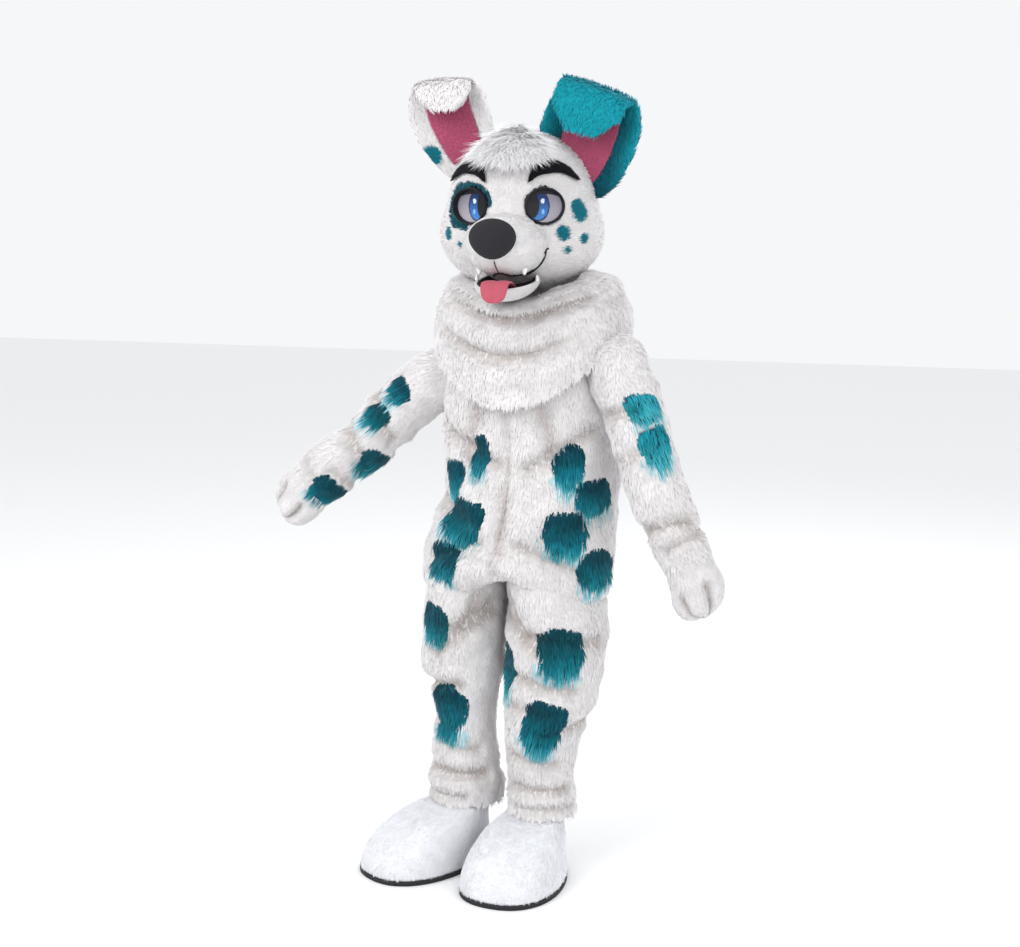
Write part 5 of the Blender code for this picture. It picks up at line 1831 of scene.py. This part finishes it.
    def build_mouth(self) -> None:
        """Jaw, lining, tongue, fangs and the dark line of the upper lip."""
        self.build_jaw()
        self.build_tongue()
        self.build_fangs()
        self.build_lip_line()

    def jaw_bowl(self, half: Array, count: int, steps: int) -> Array:
        """An open bowl from the lip down: rings run round the jaw from lip to bottom."""
        angles = round_angles(count)[None, :]
        level = np.linspace(0.0, 0.97, steps)[:, None] * math.pi / 2
        side = half[0] * np.cos(level) * np.sin(angles)
        ahead = half[1] * np.cos(level) * np.cos(angles)
        drop = -half[2] * np.sin(level) * np.ones_like(angles)
        sine, cosine = math.sin(self.jaw_tilt), math.cos(self.jaw_tilt)
        local = np.stack([
            self.jaw_at[0] + side,
            self.jaw_at[1] + ahead * cosine + drop * sine,
            self.jaw_at[2] + drop * cosine - ahead * sine,
        ], -1)
        local[..., 2] = np.minimum(local[..., 2], self.lip_height(local[..., 1]))
        return local

    def build_jaw(self) -> None:
        """The furred jaw and its black lining, each a bowl with a rounded lip."""
        half = np.array(self.jaw_half)
        outer = self.jaw_bowl(half - 0.004, 88, 26)
        inner = self.jaw_bowl(half - 0.0085, 88, 26)
        rim = (outer[0] + inner[0]) / 2 + np.array([0, 0, 0.0015])
        rings = np.concatenate([outer[::-1], rim[None], inner])
        add_piece("lower_jaw", capped(self.form.place(rings)), BACKING, MUZZLE_ROOT,
                  "white_fur", "jaw")
        under, over = (self.jaw_bowl(half - inset, 72, 20) for inset in (0.0095, 0.0130))
        rings = np.concatenate([under[::-1], over])
        add_piece("mouth_inside", capped(self.form.place(rings)), MOUTH, BLACK_ROOT,
                  "black_fleece", "mouth_lining")
        roots = scatter(facing_out(self.form.place(outer)), 5000, 90)
        roots = roots.keep(self.form.depth(roots.place) < 0.0)
        coat = Coat(length=0.0065, width=0.0018, lie=30, spread=20, clump=8, seed=91)
        grow("lower_jaw_pile", roots, coat)

    def build_tongue(self) -> None:
        """A soft tongue with a groove, over the lip and down in front."""
        # forward, height, half width
        rows = [
            (0.145, 1.4180, 0.018), (0.180, 1.4265, 0.026), (0.225, 1.4380, 0.031),
            (0.262, 1.4440, 0.032), (0.284, 1.4400, 0.032), (0.294, 1.4240, 0.030),
            (0.297, 1.4080, 0.024), (0.297, 1.3990, 0.012),
        ]
        half_thickness, groove, groove_width = 0.0042, 0.0016, 0.18
        at = evenly(rows, 56)
        slope = unit(np.gradient(at[:, :2], axis=0))
        angles = round_angles(40)
        wide, face = np.sin(angles), np.cos(angles)
        thick = half_thickness * np.sign(face) * np.abs(face) ** 0.7
        thick = thick - groove * np.exp(-(wide / groove_width) ** 2) * (face > 0)
        local = np.stack([
            at[:, 2:3] * wide,
            at[:, 0:1] - slope[:, 1:2] * thick,
            at[:, 1:2] + slope[:, 0:1] * thick,
        ], -1)
        add_piece("tongue_pad", capped(self.form.place(local)), MOUTH, TONGUE_PINK,
                  "tongue_fleece", "tongue")

    def build_fangs(self) -> None:
        """Four rounded foam fangs."""
        # out, forward and height of the root, half width, length downwards
        rows = {
            "upper": (0.052, 0.215, 1.478, 0.0075, 0.020),
            "lower": (0.0705, 0.165, 1.4436, 0.0042, -0.014),
        }
        level = np.linspace(0, 1, 14)[:, None]
        angles = round_angles(24)[None, :]
        share = np.sqrt(np.clip(1 - level ** 1.7, 0.004, 1))
        for name, (out, forward, root, width, length) in rows.items():
            for side in Side:
                local = np.stack([
                    side.value * out + np.sin(angles) * width * share,
                    forward + np.cos(angles) * width * share,
                    root - length * level * np.ones_like(angles),
                ], -1)
                if length > 0:
                    local = local[:, ::-1]
                add_piece(f"tooth_{name}_{side.word}", capped(self.form.place(local)), TOOTH,
                          TOOTH_WHITE, "tooth_foam", f"fang_{name}_{side.word}")

    def cord(self, rows: Rows, half: float) -> Array:
        """Rings of a thin cord on the skin through sideways and climb angles, round at its ends."""
        count = 90
        at = evenly(rows, count)
        line = self.form.surface(aim(at[:, 0], at[:, 1]), -0.001)
        out = unit(line - np.array(self.form.hub))
        side = unit(np.cross(np.gradient(line, axis=0), out))
        ends = np.abs(np.linspace(-1, 1, count))
        size = (half * np.sqrt(np.clip(1.02 - ends ** 8, 0.02, 1)))[:, None]
        angles = round_angles(10)
        local = (line[:, None] + (size * np.sin(angles))[..., None] * side[:, None]
                 + (size * np.cos(angles))[..., None] * out[:, None])
        return facing_out(self.form.place(local))

    def build_lip_line(self) -> None:
        """Black cords: the upper lip's edge with its smile corners, and the line under the nose."""
        edge = [(0, -27), (7, -33), (13, -40), (19, -43), (24.5, -38), (28.5, -31), (31.5, -19)]
        rows = {
            "lip_edge": ([(-turn, climb) for turn, climb in edge[:0:-1]] + edge, 0.0030),
            "nose_line": ([(0, -17), (0, -22), (0, -27)], 0.0013),
            "smile_left": ([(28.5, -19.5), (31.5, -18), (34.5, -19)], 0.0024),
            "smile_right": ([(-28.5, -19.5), (-31.5, -18), (-34.5, -19)], 0.0024),
        }
        for name, (line, half) in rows.items():
            add_piece(name, capped(self.cord(line, half)), BLACK_FLEECE, BLACK_ROOT, "black_fleece")

    def build_forelock(self) -> None:
        """A tuft of long straight hair from the crown down over the brow."""
        columns, rows = 60, 24
        turns = np.linspace(-38, 38, columns)
        low, high = aim(turns, 50 + 0.004 * turns ** 2), aim(turns, 86 - 0.010 * turns ** 2)
        outer = self.strip((low + high) / 2, (low - high) / 2, 0.004, rows)
        quads = grid_quads(rows, columns, closed=False)
        add_piece("forelock_base", (outer.reshape(-1, 3), quads), BACKING, WHITE_ROOT,
                  "forelock_fur", "forelock", depth=0.002)
        roots = scatter(outer, 7500, 95, closed=False)
        hub = self.form.place(self.form.hub)
        roots.out = unit(roots.place - hub)
        swirl = roots.place - self.form.place(np.array([0.0, -0.07, 1.80]))
        swirl = swirl * np.array([2.2, 1.0, 1.0]) + np.array([0.0, -0.05, -0.08])
        roots.nap = unit(swirl - roots.out * (swirl * roots.out).sum(-1, keepdims=True))
        coat = Coat(length=0.060, width=0.0030, lie=6, spread=12, clump=22, clump_scale=0.02,
                    uneven=0.45, root=FORELOCK_ROOT, tip=FORELOCK_TIP, seed=96)
        grow("forelock_hair", roots, coat, slot="forelock_fur")

    def build_ear(self, side: Side) -> None:
        """An ear's leaf and its pile, which leaves the lining free."""
        teal = side is Side.LEFT
        form = EarForm(self.form, side)
        slot = "teal_fur" if teal else "white_fur"
        root, tip = (TEAL_ROOT, TEAL_TIP) if teal else (WHITE_ROOT, WHITE_TIP)
        rings = form.skin(48, 60, -0.004)
        points, faces = capped(rings)
        add_piece(f"ear_leaf_{side.word}", (points, faces), BACKING,
                  self.ear_ground(form, points, teal), slot, f"ear_{side.word}")
        roots = scatter(rings, 9500 if teal else 7500, 100 + side.value)
        covered = self.in_lining(form, roots.place)
        roots = uncovered(roots.keep(~covered), [self.form])
        coat = Coat(length=0.017 if teal else 0.013, lie=18, spread=14, root=root, tip=tip,
                    spot_length=0.016, seed=102 + side.value)
        spots, bright = [], None
        if teal:
            bright = self.flap_share(roots.place)
        else:
            spot = self.ear_spot(form)
            spots = [spot]
            roots.scale[np.linalg.norm(roots.place - spot.middle, axis=1) < 0.036] = 0.6
        grow(f"ear_leaf_{side.word}_pile", roots, coat, spots, slot, bright)
        self.build_ear_lining(form)

    def build_ear_lining(self, form: EarForm) -> None:
        """The pink pad on an ear's front, with its short pile."""
        side = form.side
        lining = form.skin(56, 40, share=0.52, near=0.80, far=1.45, span=(0.08, 0.52))
        add_piece(f"ear_inside_{side.word}", capped(lining), FLEECE, PINK_ROOT,
                  "pink_fleece", f"ear_lining_{side.word}")
        roots = scatter(lining, 3200, 110 + side.value)
        coat = Coat(length=0.007, width=0.0018, lie=35, spread=25, clump=14, root=PINK_ROOT,
                    tip=PINK_TIP, seed=112 + side.value)
        roots = uncovered(roots, [self.form], 0.002)
        grow(f"ear_inside_{side.word}_pile", roots, coat, slot="pink_fleece")

    def flap_share(self, points: Array) -> Array:
        """0 on an ear's leaf and 1 on the flap that hangs in front of it."""
        return np.clip((self.form.local(points)[:, 1] - 0.012) / 0.02, 0, 1)

    def ear_ground(self, form: EarForm, points: Array, teal: bool) -> Array:
        """Backing colours: brighter on the teal ear's flap, dyed under the white ear's spot."""
        if teal:
            return mixed(TEAL_TIP, BRIGHT_TEAL_TIP, self.flap_share(points) * 0.85)
        under = np.linalg.norm(points - self.ear_spot(form).middle, axis=1) < 0.025
        return np.where(under[:, None], np.array(TEAL_TIP), np.array(WHITE_ROOT))

    def ear_spot(self, form: EarForm) -> Spot:
        """The spot near the white ear's outer edge, low on its front."""
        grid, row, column = (72, 90), 19, 14
        x, y, z = form.skin(*grid, -0.004)[row, column]
        return Spot(float(x), float(y), float(z) + FLOOR_DROP, 0.026, 0.026, small=True)

    def in_lining(self, form: EarForm, places: Array) -> Array:
        """Whether each place is under the lining, by its nearest lining point."""
        reach = 0.0065
        pad = form.skin(40, 40, share=0.50, near=0.6, far=1.2, span=(0.09, 0.51)).reshape(-1, 3)
        tree = KDTree(len(pad))
        for index, point in enumerate(pad):
            tree.insert(point, index)
        tree.balance()
        return np.array([tree.find(Vector(place))[2] < reach for place in places])


# Studio


@dataclass(frozen=True)
class Studio:
    """Plain floor, soft light and a camera at the photograph's angle."""

    azimuth: float = 21.0
    distance: float = 4.0
    height: float = 1.6
    pitch: float = 8.9
    aside: float = -0.055
    focal_pixels: float = 1674.0
    frame_width: float = 1020.0
    sensor: float = 36.0
    aim_height: float = -0.4
    floor_half: float = 14.0

    def build(self) -> None:
        """Adds the camera, the floor, three lights and a pale surround."""
        scene = bpy.context.scene
        turn = math.radians(self.azimuth)
        right = Vector((math.cos(turn), math.sin(turn), 0))
        away = Vector((math.sin(turn), -math.cos(turn), 0))
        lens = bpy.data.cameras.new("camera")
        lens.sensor_width = self.sensor
        lens.sensor_fit = "HORIZONTAL"
        lens.lens = self.sensor * self.focal_pixels / self.frame_width
        camera = bpy.data.objects.new("camera", lens)
        camera.location = away * self.distance + right * self.aside
        camera.location.z = self.height - FLOOR_DROP
        camera.rotation_euler = (math.radians(90 - self.pitch), 0, turn)
        scene.collection.objects.link(camera)
        scene.camera = camera
        scene.view_settings.view_transform = "Standard"
        self.add_floor()
        for name, place, size, power in (
            ("key", (-2.2, -3.2, 2.6), 3.0, 105.0),
            ("fill", (3.0, -2.6, 1.2), 3.0, 45.0),
            ("back", (0.6, 3.0, 2.4), 2.4, 45.0),
        ):
            lamp = bpy.data.lights.new(name, "AREA")
            lamp.energy = power
            lamp.size = size
            light = bpy.data.objects.new(name, lamp)
            light.location = place
            sight = Vector((0, 0, self.aim_height)) - light.location
            light.rotation_euler = sight.to_track_quat("-Z", "Y").to_euler()
            scene.collection.objects.link(light)
        world = bpy.data.worlds.new("surround")
        scene.world = world
        world.use_nodes = True
        background = world.node_tree.nodes["Background"]
        background.inputs["Color"].default_value = (0.97, 0.98, 1.0, 1)
        background.inputs["Strength"].default_value = 0.95

    def add_floor(self) -> None:
        """A wide pale floor under the soles."""
        half = self.floor_half
        corners = np.array([(-half, -half), (half, -half), (half, half), (-half, half)])
        points = np.column_stack([corners, np.full(4, -FLOOR_DROP)])
        plain = Finish("pale_floor", roughness=0.9, sheen=0.0, grain=3, bump=0.0, mottle=0.01)
        floor = make_mesh("floor", points, np.array([[0, 1, 2, 3]]), plain, FLOOR_WHITE)


def main() -> None:
    """Builds the studio and every piece."""
    logging.basicConfig(level=logging.INFO, format="%(name)s %(message)s")
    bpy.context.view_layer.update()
    Studio().build()
    suit, head, cowl = Suit(), Head(), Cowl()
    feet = {Side.RIGHT: Foot(-0.172, -0.028, -31.0), Side.LEFT: Foot(0.032, -0.048, -4.0)}
    suit.build(cowl, feet)
    NeckCowl(cowl).build(head.form)
    for number, (side, form) in enumerate(feet.items()):
        FootCover(side, form).build(120 + number)
    head.build()


if __name__ == "__main__":
    main()
